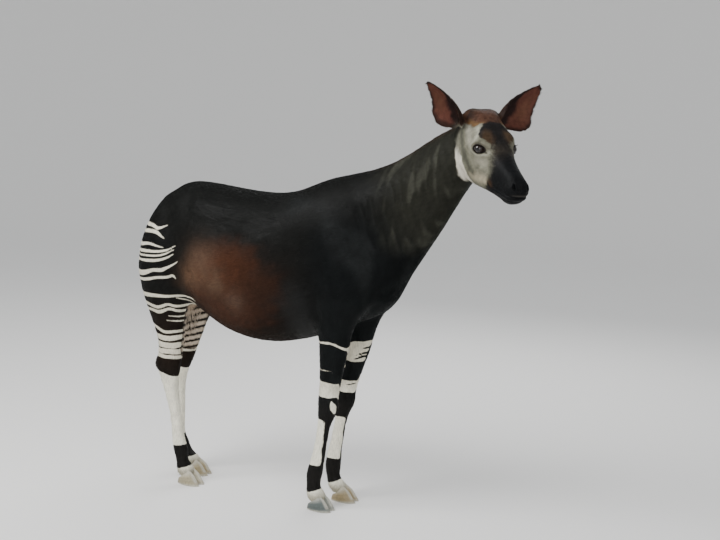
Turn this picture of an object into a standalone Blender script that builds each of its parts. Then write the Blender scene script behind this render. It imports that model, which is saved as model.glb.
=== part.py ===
"""Life-size standing okapi, a hornless adult cow, as a still museum model.

Metres, +X towards the chest, +Y to the animal's left, +Z up, floor at Z = 0.
The body is one smooth shape joined from lofts, with the head turned to its right. Thin cuts
part it into head, jaw, neck, trunk, thighs, cannons and pasterns.
"""

import bmesh
import bpy
import numpy as np
from mathutils import Matrix, Vector

# Driving dimensions
MIDDLE_X = -0.0315              # from the mid point of the fore hooves to the middle of the model's box
MIDDLE_Y = 0.0375               # the turned head shifts the middle of the box to the right
CUT = 0.0004                    # width of the cuts between two pieces

# Pose of the neck and head
HEAD_TURN = -39.0               # degrees to the left, so the head looks to the animal's right
HEAD_PITCH = 25.0               # degrees that the face axis points down
POLL = (0.630, 1.728)           # x, z of the joint of skull and neck
POLL_SIDE = -0.080              # its distance from the middle
NECK_START = 0.140              # x where the neck leaves the middle
NECK_CURL = 1.6                 # power of the neck's sideways curve

# Fineness of the meshes
SHARP_ANGLE = 40.0              # degrees, above which an edge stays sharp
AROUND = 40                     # points round a loft
STEPS = 4                       # rings between two stations of a loft
VOXEL = 0.009
BODY_TRIANGLES = 4050
SMOOTH_ALL = 6                  # rounds of smoothing over the whole body
SMOOTH_TRUNK = 40               # further rounds where lofts meet, away from head and lower legs
HEAD_FADE = (0.03, 0.10)        # x of the head's own axis between which the further rounds end
HEAD_LOWEST = 1.2               # height above which a point can be of the head
LEG_FADE = (0.62, 0.85)         # heights between which the further rounds set in
HEAD_JOINING = 0.998            # a little less than 1, so that the faces of the head stay finer

# Rings of the lofts: height of the widest place as a share, and fullness (2 is an ellipse)
TRUNK_RING = (0.47, 2.15)
NECK_RING = (0.45, 2.1)
LEG_RING = (0.50, 2.1)
TAIL_RING = (0.50, 2.0)
HEAD_FULLNESS = 2.3

# Stations of the trunk: x, height of back, height of belly, half width
TRUNK = (
    (-0.985, 1.205, 1.060, 0.045),
    (-0.950, 1.280, 0.960, 0.110),
    (-0.890, 1.360, 0.900, 0.160),
    (-0.800, 1.420, 0.870, 0.200),
    (-0.690, 1.425, 0.830, 0.225),
    (-0.560, 1.412, 0.762, 0.255),
    (-0.430, 1.403, 0.728, 0.275),
    (-0.310, 1.406, 0.724, 0.278),
    (-0.200, 1.430, 0.742, 0.262),
    (-0.090, 1.478, 0.775, 0.240),
    (0.020, 1.508, 0.820, 0.212),
    (0.120, 1.500, 0.860, 0.190),
    (0.210, 1.430, 0.905, 0.158),
    (0.270, 1.330, 0.965, 0.115),
    (0.300, 1.220, 1.040, 0.060),
)
# Stations of the neck: x and z of the crest, x and z of the throat, half width
NECK = (
    (-0.120, 1.440, 0.120, 0.900, 0.150),
    (0.020, 1.508, 0.270, 0.985, 0.165),
    (0.130, 1.538, 0.335, 1.085, 0.150),
    (0.235, 1.578, 0.405, 1.190, 0.128),
    (0.330, 1.630, 0.475, 1.292, 0.110),
    (0.415, 1.685, 0.535, 1.388, 0.098),
    (0.490, 1.727, 0.585, 1.465, 0.090),
    (0.545, 1.757, 0.630, 1.530, 0.080),
    (0.600, 1.785, 0.660, 1.580, 0.060),
)
# Stations of the head on its own axis: x from the poll, top, bottom, half width, and the height
# of the widest place as a share of the way from bottom to top
HEAD = (
    (-0.060, 0.050, -0.040, 0.040, 0.55),
    (-0.020, 0.104, -0.110, 0.078, 0.60),
    (0.030, 0.117, -0.155, 0.090, 0.60),
    (0.080, 0.114, -0.170, 0.094, 0.60),
    (0.130, 0.102, -0.168, 0.093, 0.65),
    (0.180, 0.083, -0.155, 0.089, 0.69),
    (0.225, 0.064, -0.142, 0.075, 0.62),
    (0.275, 0.048, -0.129, 0.061, 0.52),
    (0.325, 0.036, -0.119, 0.053, 0.50),
    (0.370, 0.028, -0.111, 0.049, 0.48),
    (0.405, 0.020, -0.102, 0.048, 0.46),
    (0.431, 0.006, -0.088, 0.042, 0.46),
    (0.448, -0.016, -0.062, 0.024, 0.46),
)
# Stations of the near fore leg: z, front x, back x, distance from the middle, half width
FORE_LEG = (
    (1.400, 0.060, -0.070, 0.085, 0.030),
    (1.300, 0.120, -0.110, 0.105, 0.055),
    (1.180, 0.195, -0.135, 0.125, 0.072),
    (1.060, 0.230, -0.130, 0.132, 0.078),
    (0.960, 0.210, -0.100, 0.128, 0.072),
    (0.880, 0.150, -0.066, 0.120, 0.062),
    (0.800, 0.115, -0.048, 0.112, 0.054),
    (0.690, 0.088, -0.040, 0.104, 0.046),
    (0.580, 0.062, -0.038, 0.098, 0.039),
    (0.515, 0.052, -0.044, 0.095, 0.039),
    (0.455, 0.046, -0.044, 0.093, 0.038),
    (0.405, 0.024, -0.044, 0.092, 0.030),
    (0.350, 0.010, -0.050, 0.091, 0.026),
    (0.270, 0.000, -0.064, 0.090, 0.025),
    (0.205, -0.008, -0.082, 0.090, 0.029),
    (0.160, -0.015, -0.094, 0.090, 0.033),
    (0.120, -0.024, -0.091, 0.090, 0.031),
    (0.097, -0.022, -0.089, 0.090, 0.034),
    (0.078, -0.008, -0.086, 0.090, 0.041),
    (0.058, 0.000, -0.080, 0.090, 0.041),
    (0.034, -0.004, -0.070, 0.090, 0.034),
)
# Stations of the near hind leg: z, front x, back x, distance from the middle, half width
HIND_LEG = (
    (1.370, -0.760, -0.880, 0.070, 0.030),
    (1.280, -0.700, -0.932, 0.100, 0.070),
    (1.150, -0.665, -0.974, 0.122, 0.095),
    (1.020, -0.675, -0.982, 0.130, 0.100),
    (0.920, -0.712, -0.966, 0.126, 0.090),
    (0.840, -0.735, -0.946, 0.118, 0.075),
    (0.760, -0.750, -0.918, 0.110, 0.060),
    (0.680, -0.762, -0.897, 0.102, 0.046),
    (0.620, -0.770, -0.897, 0.098, 0.039),
    (0.560, -0.778, -0.912, 0.095, 0.037),
    (0.505, -0.790, -0.890, 0.092, 0.035),
    (0.440, -0.790, -0.866, 0.090, 0.030),
    (0.350, -0.778, -0.840, 0.088, 0.026),
    (0.270, -0.765, -0.826, 0.086, 0.025),
    (0.205, -0.752, -0.818, 0.085, 0.029),
    (0.160, -0.735, -0.812, 0.084, 0.033),
    (0.120, -0.736, -0.798, 0.083, 0.031),
    (0.097, -0.728, -0.792, 0.082, 0.034),
    (0.078, -0.712, -0.788, 0.082, 0.041),
    (0.058, -0.704, -0.781, 0.082, 0.041),
    (0.034, -0.708, -0.770, 0.082, 0.034),
)
# Tail: x and z of its mid line, distance from the middle, half width
TAIL = (
    (-0.925, 1.300, 0.0, 0.030),
    (-0.968, 1.235, 0.0, 0.025),
    (-0.995, 1.140, 0.0, 0.018),
    (-1.000, 1.030, 0.0, 0.014),
    (-0.993, 0.930, 0.0, 0.013),
    (-0.978, 0.855, 0.0, 0.017),
    (-0.965, 0.790, 0.0, 0.023),
    (-0.957, 0.730, 0.0, 0.018),
    (-0.954, 0.690, 0.0, 0.006),
)
TAIL_AROUND = 12
TAIL_STEPS = 2
# Each claw: length and width of its sole, height of its front and back, how far its walls lean in
CLAW_LENGTH = 0.122
CLAW_WIDTH = 0.046
CLAW_GAP = 0.003
CLAW_FRONT_HEIGHT = 0.080
CLAW_BACK_HEIGHT = 0.044
CLAW_LEAN = 0.45                # share of the length that the toe wall leans back
CLAW_HEEL_LEAN = 0.05           # share of the length that the heel leans forward
CLAW_TAPER = 0.22               # share of the width lost at the top
CLAW_OUTLINE = (0.45, 2.6, 0.62)    # powers of the sole's outline: heel, toe, toe's roundness
CLAW_OUTER = 1.25               # the side away from the cleft bulges more
CLAW_INNER = 0.75
CLAW_RINGS = 4
CLAW_POINTS = 14
# Hooves: x of the heel, distance of the middle line to the left, degrees that the toes turn out
HOOVES = {
    "fore_leg_left": (-0.046, 0.090, 2.0),
    "fore_leg_right": (-0.076, -0.090, 2.0),
    "hind_leg_left": (-0.834, 0.078, 3.0),
    "hind_leg_right": (-0.775, -0.082, 3.0),
}
# How far each leg stands forward of the near one: height, distance
FORE_LEFT_SHIFT = (
    (0.00, 0.030),
    (0.10, 0.008),
    (0.22, -0.006),
    (0.52, -0.008),
    (0.72, 0.012),
    (0.90, 0.010),
    (1.05, 0.000),
    (1.40, 0.000),
)
HIND_LEFT_SHIFT = (
    (0.00, -0.062),
    (0.08, -0.076),
    (0.17, -0.118),
    (0.30, -0.096),
    (0.42, -0.082),
    (0.55, -0.054),
    (0.68, -0.026),
    (0.80, -0.004),
    (0.90, 0.000),
    (1.40, 0.000),
)
# Ears, in the head's own axes
EAR_LENGTH = 0.238
EAR_THICKNESS = 0.006
EAR_ROOT = (0.012, 0.079, 0.060)    # x, distance from the middle, z
EAR_RISE = 40.0                     # degrees above the horizontal, seen from the front
EAR_BACK = 9.0                      # degrees that the ear leans back
EAR_DEPTH = 0.018                   # how far the middle of the ear bows back
EAR_CURL = (115, 60, 15)            # degrees of half curl at the root, lost by mid ear, lost by the tip
# Which way the hollow side faces, left (1) and right (-1)
EAR_FACING = {1: (0.97, -0.22, -0.20), -1: (0.32, 0.95, -0.10)}
# Left (1) and right (-1): share of the length, reach of the outer and inner edge from the axis
EAR_EDGES = {
    1: (
        (0.00, 0.026, 0.026),
        (0.12, 0.050, 0.042),
        (0.25, 0.082, 0.047),
        (0.38, 0.108, 0.043),
        (0.50, 0.108, 0.035),
        (0.60, 0.082, 0.029),
        (0.72, 0.062, 0.022),
        (0.85, 0.043, 0.014),
        (0.95, 0.024, 0.007),
        (1.00, 0.004, 0.003),
    ),
    -1: (
        (0.00, 0.024, 0.026),
        (0.12, 0.050, 0.042),
        (0.25, 0.078, 0.047),
        (0.38, 0.086, 0.043),
        (0.52, 0.070, 0.034),
        (0.68, 0.049, 0.024),
        (0.85, 0.032, 0.014),
        (0.95, 0.018, 0.007),
        (1.00, 0.003, 0.003),
    ),
}
EAR_ROWS = 10
EAR_COLUMNS = 11
# Eyes, in the head's own axes
EYE_RADIUS = 0.0215
EYE_CENTRE = (0.182, 0.074, 0.024)
EYE_SEGMENTS = 14
EYE_RINGS = 8
# Swellings (+) and hollows (-) of the body: x, distance from the middle, z, radius, height
BODY_SWELLINGS = (
    (0.060, 0.190, 1.270, 0.120, 0.010),
    (0.235, 0.130, 1.090, 0.075, 0.014),
    (-0.130, 0.245, 1.180, 0.110, -0.012),
    (-0.625, 0.190, 1.350, 0.055, 0.020),
    (-0.500, 0.240, 1.250, 0.120, -0.022),
    (-0.965, 0.075, 1.215, 0.055, 0.008),
    (-0.840, 0.215, 1.060, 0.130, 0.010),
    (-0.700, 0.180, 0.930, 0.070, 0.014),
    (-0.060, 0.150, 0.900, 0.045, 0.012),
    (0.052, 0.092, 0.480, 0.030, 0.005),
    (-0.905, 0.092, 0.560, 0.022, 0.008),
)
# The same for the head, in its own axes
HEAD_SWELLINGS = (
    (0.165, 0.066, 0.064, 0.030, 0.011),
    (0.100, 0.088, -0.090, 0.050, 0.006),
    (0.240, 0.062, -0.015, 0.035, -0.006),
    (0.415, 0.038, -0.020, 0.020, 0.006),
    (0.430, 0.032, -0.026, 0.009, -0.010),
    (0.055, 0.034, 0.114, 0.026, 0.006),
    (0.385, 0.000, -0.106, 0.022, 0.006),
    (0.005, 0.080, 0.066, 0.036, 0.014),
    (0.012, 0.054, 0.096, 0.032, 0.013),
)
# Blocks that part the legs from the trunk: heights of the floor side, of the roof's inner edge and of
# the roof at ZONE_MARK from it, and x of the back and front at the floor and at the outer roof
ZONE_INNER = 0.0025             # distance of the blocks' inner faces from the middle
ZONE_OUTER = 0.60
ZONE_MARK = 0.25
LEG_ZONES = {
    "fore_leg": {"heights": (-0.20, 0.745, 1.090), "ends": (-0.105, -0.150, 0.500, 0.500)},
    "hind_leg": {"heights": (-0.20, 0.790, 1.190), "ends": (-1.300, -1.300, -0.700, -0.500)},
}
# Joints of the legs: x, height and lean of the cut
JOINTS = {
    "fore_leg": (0.000, 0.452, 0.0),
    "hind_leg": (-0.850, 0.520, -0.35),
}
# Planes of the other cuts: a point and the direction of the piece taken off
NECK_CUT = ((0.150, 0.000, 1.500), (0.930, 0.000, 0.370))
HEAD_CUT = ((-0.040, 0.000, 0.090), (0.915, 0.260, 0.311))
JAW_CUT = ((0.449, 0.000, -0.046), (0.220, 0.000, -1.000))

BLOCK_FACES = [(0, 1, 2, 3), (4, 5, 6, 7), (0, 1, 5, 4), (1, 2, 6, 5), (2, 3, 7, 6), (3, 0, 4, 7)]

# Which material each node takes, by the start of its name, and its colour
SLOTS = {
    "trunk": "dark_coat",
    "neck": "dark_coat",
    "tail": "dark_coat",
    "head": "face_coat",
    "lower_jaw": "face_coat",
    "ear": "ear_skin",
    "eye": "eye_surface",
    "fore_leg": "striped_coat",
    "hind_leg": "striped_coat",
    "fore_cannon": "white_coat",
    "hind_cannon": "white_coat",
    "fore_claw": "hoof_horn",
    "hind_claw": "hoof_horn",
}
COLOURS = {
    "dark_coat": (0.035, 0.025, 0.022),
    "striped_coat": (0.160, 0.130, 0.105),
    "white_coat": (0.700, 0.660, 0.590),
    "face_coat": (0.300, 0.270, 0.240),
    "ear_skin": (0.180, 0.060, 0.038),
    "eye_surface": (0.012, 0.008, 0.007),
    "hoof_horn": (0.190, 0.160, 0.130),
}


def clear_scene():
    for item in list(bpy.data.objects):
        bpy.data.objects.remove(item, do_unlink=True)


def new_collection(name):
    collection = bpy.data.collections.new(name)
    bpy.context.scene.collection.children.link(collection)
    return collection


def material(name):
    """One Principled material per kind of surface, made once."""
    found = bpy.data.materials.get(name)
    if found:
        return found
    made = bpy.data.materials.new(name)
    made.use_nodes = True
    shader = made.node_tree.nodes["Principled BSDF"]
    shader.inputs["Base Color"].default_value = (*COLOURS[name], 1.0)
    shader.inputs["Roughness"].default_value = 0.15 if name == "eye_surface" else 0.65
    made.diffuse_color = (*COLOURS[name], 1.0)
    return made


def slot_of(name):
    return next(slot for start, slot in SLOTS.items() if name.startswith(start))


def new_object(name, points, faces, collection):
    mesh = bpy.data.meshes.new(name)
    mesh.from_pydata([tuple(point) for point in points], [], faces)
    shell = bmesh.new()
    shell.from_mesh(mesh)
    bmesh.ops.recalc_face_normals(shell, faces=shell.faces)
    shell.to_mesh(mesh)
    shell.free()
    made = bpy.data.objects.new(name, mesh)
    collection.objects.link(made)
    return made


def between_stations(table, steps=STEPS):
    """Rows with more between each two, on a cubic curve through all of them."""
    rows = np.asarray(table, float)
    rows = np.vstack([2 * rows[0] - rows[1], rows, 2 * rows[-1] - rows[-2]])
    t = np.arange(steps)[:, None] / steps
    spans = []
    for a, b, c, d in zip(rows, rows[1:], rows[2:], rows[3:]):
        slope_b = 0.5 * (c - a)
        slope_c = 0.5 * (d - b)
        bend = 2 * (b - c) + slope_b + slope_c
        lift = 3 * (c - b) - 2 * slope_b - slope_c
        spans.append(b + slope_b * t + lift * t ** 2 + bend * t ** 3)
    return np.vstack([*spans, rows[-2:-1]])


def ring_faces(rings, around):
    """Faces of a closed body made of rings of points, with a flat cap at each end."""
    faces = [
        (
            ring * around + i,
            ring * around + (i + 1) % around,
            (ring + 1) * around + (i + 1) % around,
            (ring + 1) * around + i,
        )
        for ring in range(rings - 1)
        for i in range(around)
    ]
    faces.append(tuple(range(around)))
    faces.append(tuple(range((rings - 1) * around, rings * around)))
    return faces


def loft(name, top, bottom, half_width, side, wide_at, fullness, collection, around=AROUND):
    """A closed body through oval rings.

    Each ring runs through its top and bottom outline points and is widest at the share
    wide_at of the way from bottom to top; fullness 2 gives an ellipse, more a squarer ring.
    """
    share = np.broadcast_to(wide_at, half_width.shape)[:, None]
    centre = bottom + share * (top - bottom)
    turn = np.arange(around) * 2 * np.pi / around
    across = np.sign(np.cos(turn)) * np.abs(np.cos(turn)) ** (2 / fullness)
    along = np.sign(np.sin(turn)) * np.abs(np.sin(turn)) ** (2 / fullness)
    rise = np.where(along[None, :, None] > 0, (top - centre)[:, None], (centre - bottom)[:, None])
    rings = (
        centre[:, None]
        + half_width[:, None, None] * across[None, :, None] * side[:, None]
        + along[None, :, None] * rise
    )
    return new_object(name, rings.reshape(-1, 3), ring_faces(len(rings), around), collection)


def head_matrix():
    """Head axes to model axes: turned to the right, nose down, at the poll."""
    turn = Matrix.Rotation(np.radians(HEAD_TURN), 4, "Z")
    pitch = Matrix.Rotation(np.radians(HEAD_PITCH), 4, "Y")
    place = Matrix.Translation((POLL[0], POLL_SIDE, POLL[1]))
    return place @ turn @ pitch


def to_model(points):
    """Points of the head's own axes in model axes."""
    matrix = np.array(head_matrix())
    return np.asarray(points, float) @ matrix[:3, :3].T + matrix[:3, 3]


def bend(x):
    """Sideways place of the neck's mid line: it leaves the middle at NECK_START and curves right."""
    share = np.clip((x - NECK_START) / (POLL[0] - NECK_START), 0.0, 1.3)
    return POLL_SIDE * share ** NECK_CURL


def trunk_body(collection):
    x, back, belly, half = between_stations(TRUNK).T
    flat = np.zeros_like(x)
    top = np.stack([x, flat, back], 1)
    bottom = np.stack([x, flat, belly], 1)
    side = np.tile([0.0, 1.0, 0.0], (len(x), 1))
    return loft("trunk_body", top, bottom, half, side, *TRUNK_RING, collection)


def neck_body(collection):
    crest_x, crest_z, throat_x, throat_z, half = between_stations(NECK).T
    top = np.stack([crest_x, bend(crest_x), crest_z], 1)
    bottom = np.stack([throat_x, bend(throat_x), throat_z], 1)
    step = 0.01
    middle = 0.5 * (crest_x + throat_x)
    lean = (bend(middle + step) - bend(middle - step)) / (2 * step)
    side = np.stack([-lean, np.ones_like(lean), np.zeros_like(lean)], 1)
    side /= np.linalg.norm(side, axis=1)[:, None]
    return loft("neck_body", top, bottom, half, side, *NECK_RING, collection)


def head_body(collection):
    x, high, low, half, wide_at = between_stations(HEAD).T
    flat = np.zeros_like(x)
    top = to_model(np.stack([x, flat, high], 1))
    bottom = to_model(np.stack([x, flat, low], 1))
    across = np.array(head_matrix())[:3, 1]
    side = np.tile(across, (len(x), 1))
    return loft("head_body", top, bottom, half, side, wide_at, HEAD_FULLNESS, collection)


def leg_body(name, table, hand, shift, collection):
    """A leg from its stations, moved forward by the shift told for each height."""
    z, front, back, out, half = between_stations(table).T
    heights, moves = np.array(shift).T
    move = np.interp(z, heights, moves)
    front_line = np.stack([front + move, hand * out, z], 1)
    back_line = np.stack([back + move, hand * out, z], 1)
    side = np.tile([0.0, 1.0, 0.0], (len(z), 1))
    return loft(name, front_line, back_line, half, side, *LEG_RING, collection)


def joined_shape(bodies, voxel, name, collection):
    """The closed outer surface of overlapping bodies, on an even grid of faces."""
    shell = bmesh.new()
    for body in bodies:
        shell.from_mesh(body.data)
    mesh = bpy.data.meshes.new(name)
    shell.to_mesh(mesh)
    shell.free()
    whole = bpy.data.objects.new(name, mesh)
    collection.objects.link(whole)
    remesh = whole.modifiers.new("even faces", "REMESH")
    remesh.mode = "VOXEL"
    remesh.voxel_size = voxel
    return applied(whole)


def applied(item):
    """The object with its modifiers made real."""
    bpy.context.view_layer.update()
    graph = bpy.context.evaluated_depsgraph_get()
    mesh = bpy.data.meshes.new_from_object(item.evaluated_get(graph))
    item.modifiers.clear()
    item.data = mesh
    return item


def points_of(mesh):
    flat = np.empty(len(mesh.vertices) * 3)
    mesh.vertices.foreach_get("co", flat)
    return flat.reshape(-1, 3)


def normals_of(mesh):
    flat = np.empty(len(mesh.vertices) * 3)
    mesh.vertices.foreach_get("normal", flat)
    return flat.reshape(-1, 3)


def set_points(mesh, points):
    mesh.vertices.foreach_set("co", points.ravel())
    mesh.update()


def step_between(low, high, value):
    share = np.clip((value - low) / (high - low), 0.0, 1.0)
    return share * share * (3 - 2 * share)


def smooth(mesh, rounds, weight):
    """Each point moves to the mean of its neighbours and part of the way back, which keeps the size."""
    points = points_of(mesh)
    ends = np.empty(len(mesh.edges) * 2, np.int64)
    mesh.edges.foreach_get("vertices", ends)
    a, b = ends.reshape(-1, 2).T
    count = np.bincount(np.concatenate([a, b]), minlength=len(points))[:, None]
    for _ in range(rounds):
        for share in (0.55, -0.50):
            total = np.stack(
                [
                    np.bincount(a, points[b, axis], len(points))
                    + np.bincount(b, points[a, axis], len(points))
                    for axis in range(3)
                ],
                1,
            )
            points = points + share * weight[:, None] * (total / count - points)
    set_points(mesh, points)


def swell(mesh, table, place):
    """Gentle round swellings and hollows on both sides of the body."""
    points = points_of(mesh)
    normals = normals_of(mesh)
    for x, out, z, radius, height in table:
        for hand in (1, -1) if out else (1,):
            centre = place((x, hand * out, z))
            away = ((points - centre) ** 2).sum(1)
            points = points + normals * (height * np.exp(-away / radius ** 2))[:, None]
    set_points(mesh, points)


def in_head_axes(points):
    matrix = np.array(head_matrix().inverted())
    return points @ matrix[:3, :3].T + matrix[:3, 3]


def whole_body(collection):
    """Trunk, neck, head and legs as one smooth closed surface."""
    bodies = [
        trunk_body(collection),
        neck_body(collection),
        head_body(collection),
        leg_body("fore_right", FORE_LEG, -1, ((0.0, 0.0), (1.4, 0.0)), collection),
        leg_body("fore_left", FORE_LEG, 1, FORE_LEFT_SHIFT, collection),
        leg_body("hind_right", HIND_LEG, -1, ((0.0, 0.0), (1.4, 0.0)), collection),
        leg_body("hind_left", HIND_LEG, 1, HIND_LEFT_SHIFT, collection),
    ]
    whole = joined_shape(bodies, VOXEL, "whole_body", collection)
    for body in bodies:
        bpy.data.objects.remove(body, do_unlink=True)
    points = points_of(whole.data)
    along_head = in_head_axes(points)[:, 0]
    of_head = step_between(*HEAD_FADE, along_head) * (points[:, 2] > HEAD_LOWEST)
    of_leg = 1 - step_between(*LEG_FADE, points[:, 2])
    smooth(whole.data, SMOOTH_ALL, np.ones(len(points)))
    smooth(whole.data, SMOOTH_TRUNK, (1 - of_head) * (1 - of_leg))
    swell(whole.data, BODY_SWELLINGS, np.array)
    swell(whole.data, HEAD_SWELLINGS, lambda point: to_model([point])[0])
    lighten = whole.modifiers.new("fewer faces", "DECIMATE")
    whole.data.calc_loop_triangles()
    lighten.ratio = BODY_TRIANGLES / len(whole.data.loop_triangles)
    lighten.use_collapse_triangulate = True
    group = whole.vertex_groups.new(name="joined_faces")
    group.add(np.nonzero(of_head < 0.5)[0].tolist(), 1.0, "REPLACE")
    group.add(np.nonzero(of_head >= 0.5)[0].tolist(), HEAD_JOINING, "REPLACE")
    lighten.vertex_group = group.name
    return applied(whole)


def grown(item, distance, name, collection):
    """A copy with every face moved outwards by the distance."""
    shell = bmesh.new()
    shell.from_mesh(item.data)
    shell.normal_update()
    moves = [vertex.normal * vertex.calc_shell_factor() * distance for vertex in shell.verts]
    for vertex, move in zip(shell.verts, moves):
        vertex.co += move
    mesh = bpy.data.meshes.new(name)
    shell.to_mesh(mesh)
    shell.free()
    made = bpy.data.objects.new(name, mesh)
    collection.objects.link(made)
    return made


def boolean(item, other, operation):
    cut = item.modifiers.new(operation.lower(), "BOOLEAN")
    cut.operation = operation
    cut.solver = "EXACT"
    cut.object = other
    applied(item)


def copy_of(item, name, collection):
    made = bpy.data.objects.new(name, item.data.copy())
    collection.objects.link(made)
    return made


def part_off(item, zone, name, collection):
    """Splits the object at the zone's faces: the inside becomes a new object, a thin cut away."""
    piece = copy_of(item, name, collection)
    boolean(piece, zone, "INTERSECT")
    wider = grown(zone, CUT, "wider_zone", collection)
    boolean(item, wider, "DIFFERENCE")
    for helper in (wider, zone):
        bpy.data.objects.remove(helper, do_unlink=True)
    return piece


def beyond(point, normal, collection):
    """A large block with one face on the plane through the point, lying along the normal."""
    reach = 2.0
    corners = [
        (x * reach, y * reach, z)
        for z in (0.0, 2 * reach)
        for x, y in ((-1, -1), (1, -1), (1, 1), (-1, 1))
    ]
    turn = Vector(normal).to_track_quat("Z", "Y").to_matrix()
    points = [turn @ Vector(corner) + Vector(point) for corner in corners]
    return new_object("zone", points, BLOCK_FACES, collection)


def wedge(low, high, collection):
    """A block from four lower and four upper corners."""
    return new_object("zone", [*low, *high], BLOCK_FACES, collection)


def claw(name, heel_x, middle_y, turn_out, outwards, collection):
    """One horn claw: a pointed flat sole, walls leaning in, a top sloping down to the heel."""
    turn = np.arange(CLAW_POINTS) * 2 * np.pi / CLAW_POINTS
    share = 0.5 + 0.5 * np.cos(turn)
    heel_power, toe_power, toe_round = CLAW_OUTLINE
    wide = share ** heel_power * (1 - share ** toe_power) ** toe_round
    wide *= 0.5 * CLAW_WIDTH / wide.max()
    side = np.sign(np.sin(turn))
    bulge = np.where(side * outwards > 0, CLAW_OUTER, CLAW_INNER)
    rings = []
    for level in np.linspace(0.0, 1.0, CLAW_RINGS):
        heel = CLAW_HEEL_LEAN * level
        x = CLAW_LENGTH * (heel + share * (1 - (CLAW_LEAN + CLAW_HEEL_LEAN) * level))
        y = side * wide * bulge * (1 - CLAW_TAPER * level ** 2)
        top = CLAW_BACK_HEIGHT + (CLAW_FRONT_HEIGHT - CLAW_BACK_HEIGHT) * share
        rings.append(np.stack([x, y, level * top], 1))
    points = np.vstack(rings)
    points[:, 1] += outwards * 0.5 * (CLAW_INNER * CLAW_WIDTH + CLAW_GAP)
    half = 0.5 * CLAW_LENGTH
    angle = np.radians(turn_out) * np.sign(middle_y)
    x = points[:, 0] - half
    y = points[:, 1].copy()
    points[:, 0] = heel_x + half + x * np.cos(angle) - y * np.sin(angle)
    points[:, 1] = middle_y + x * np.sin(angle) + y * np.cos(angle)
    return new_object(name, points, ring_faces(CLAW_RINGS, CLAW_POINTS), collection)


def ear(name, hand, collection):
    """A leaf-shaped cup: tube-like at its root, widest at half length, flatter at its tip."""
    along = np.linspace(0.0, 1.0, EAR_ROWS)[:, None]
    across = np.linspace(-1.0, 1.0, EAR_COLUMNS)[None, :]
    share, outer, inner = np.array(EAR_EDGES[hand]).T
    outer = np.interp(along, share, outer)
    inner = np.interp(along, share, inner)
    half = np.where(across * hand > 0, outer, inner)
    root_curl, lost_by_middle, lost_by_tip = EAR_CURL
    curl = root_curl - lost_by_middle * step_between(0.0, 0.50, along) - lost_by_tip * along
    curl = np.radians(curl)
    radius = half / np.sin(np.minimum(curl, 0.5 * np.pi))
    wide = radius * np.sin(across * curl)
    deep = radius * (1 - np.cos(across * curl)) - EAR_DEPTH * (1 - (2 * along - 1) ** 2)
    rise = np.radians(EAR_RISE)
    back = np.radians(EAR_BACK)
    axis = Vector((-np.sin(back), hand * np.cos(rise) * np.cos(back), np.sin(rise) * np.cos(back)))
    facing = Vector(EAR_FACING[hand])
    facing.y *= hand
    facing = (facing - axis * facing.dot(axis)).normalized()
    width = axis.cross(facing)
    points = (
        np.array((EAR_ROOT[0], hand * EAR_ROOT[1], EAR_ROOT[2]))
        + (along * EAR_LENGTH)[..., None] * np.array(axis)
        + wide[..., None] * np.array(width)
        + deep[..., None] * np.array(facing)
    )
    faces = [
        (
            row * EAR_COLUMNS + i,
            row * EAR_COLUMNS + i + 1,
            (row + 1) * EAR_COLUMNS + i + 1,
            (row + 1) * EAR_COLUMNS + i,
        )
        for row in range(EAR_ROWS - 1)
        for i in range(EAR_COLUMNS - 1)
    ]
    shell = new_object(name, to_model(points.reshape(-1, 3)), faces, collection)
    wall = shell.modifiers.new("thickness", "SOLIDIFY")
    wall.thickness = EAR_THICKNESS
    wall.offset = 0.0
    wall.use_even_offset = True
    return applied(shell)


def eye(name, hand, radius, collection):
    ball = bmesh.new()
    bmesh.ops.create_uvsphere(ball, u_segments=EYE_SEGMENTS, v_segments=EYE_RINGS, radius=radius)
    centre = to_model([(EYE_CENTRE[0], hand * EYE_CENTRE[1], EYE_CENTRE[2])])[0]
    bmesh.ops.translate(ball, verts=ball.verts, vec=centre)
    mesh = bpy.data.meshes.new(name)
    ball.to_mesh(mesh)
    ball.free()
    made = bpy.data.objects.new(name, mesh)
    collection.objects.link(made)
    return made


def tail(collection):
    x, z, out, half = between_stations(TAIL, TAIL_STEPS).T
    along = np.gradient(np.stack([x, out, z], 1), axis=0)
    along /= np.linalg.norm(along, axis=1)[:, None]
    side = np.tile([0.0, 1.0, 0.0], (len(x), 1))
    front = np.cross(side, along)
    line = np.stack([x, out, z], 1)
    thick = half[:, None]
    ends = (line + front * thick, line - front * thick)
    return loft("tail", *ends, half, side, *TAIL_RING, collection, TAIL_AROUND)


def leg_zone(hand, kind, collection):
    """Block that takes one leg: from the groin its roof slopes up and outwards over the muscle."""
    low_z, inner_z, outer_z = kind["heights"]
    back_low, back_high, front_low, front_high = kind["ends"]
    inner = hand * ZONE_INNER
    outer = hand * ZONE_OUTER
    rise = (outer_z - inner_z) / ZONE_MARK
    roof = inner_z + rise * ZONE_OUTER
    low = [
        (back_low, inner, low_z),
        (front_low, inner, low_z),
        (front_low, outer, low_z),
        (back_low, outer, low_z),
    ]
    high = [
        (back_low, inner, inner_z),
        (front_low, inner, inner_z),
        (front_high, outer, roof),
        (back_high, outer, roof),
    ]
    return wedge(low, high, collection)


def finish(item, slot):
    """Gives the object its material, smooth shading off its sharp edges, and its place."""
    item.data.materials.clear()
    item.data.materials.append(material(slot))
    item.data.transform(Matrix.Translation((-MIDDLE_X, MIDDLE_Y, 0.0)))
    item.data.polygons.foreach_set("use_smooth", [True] * len(item.data.polygons))
    item.data.set_sharp_from_angle(angle=np.radians(SHARP_ANGLE))


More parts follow.
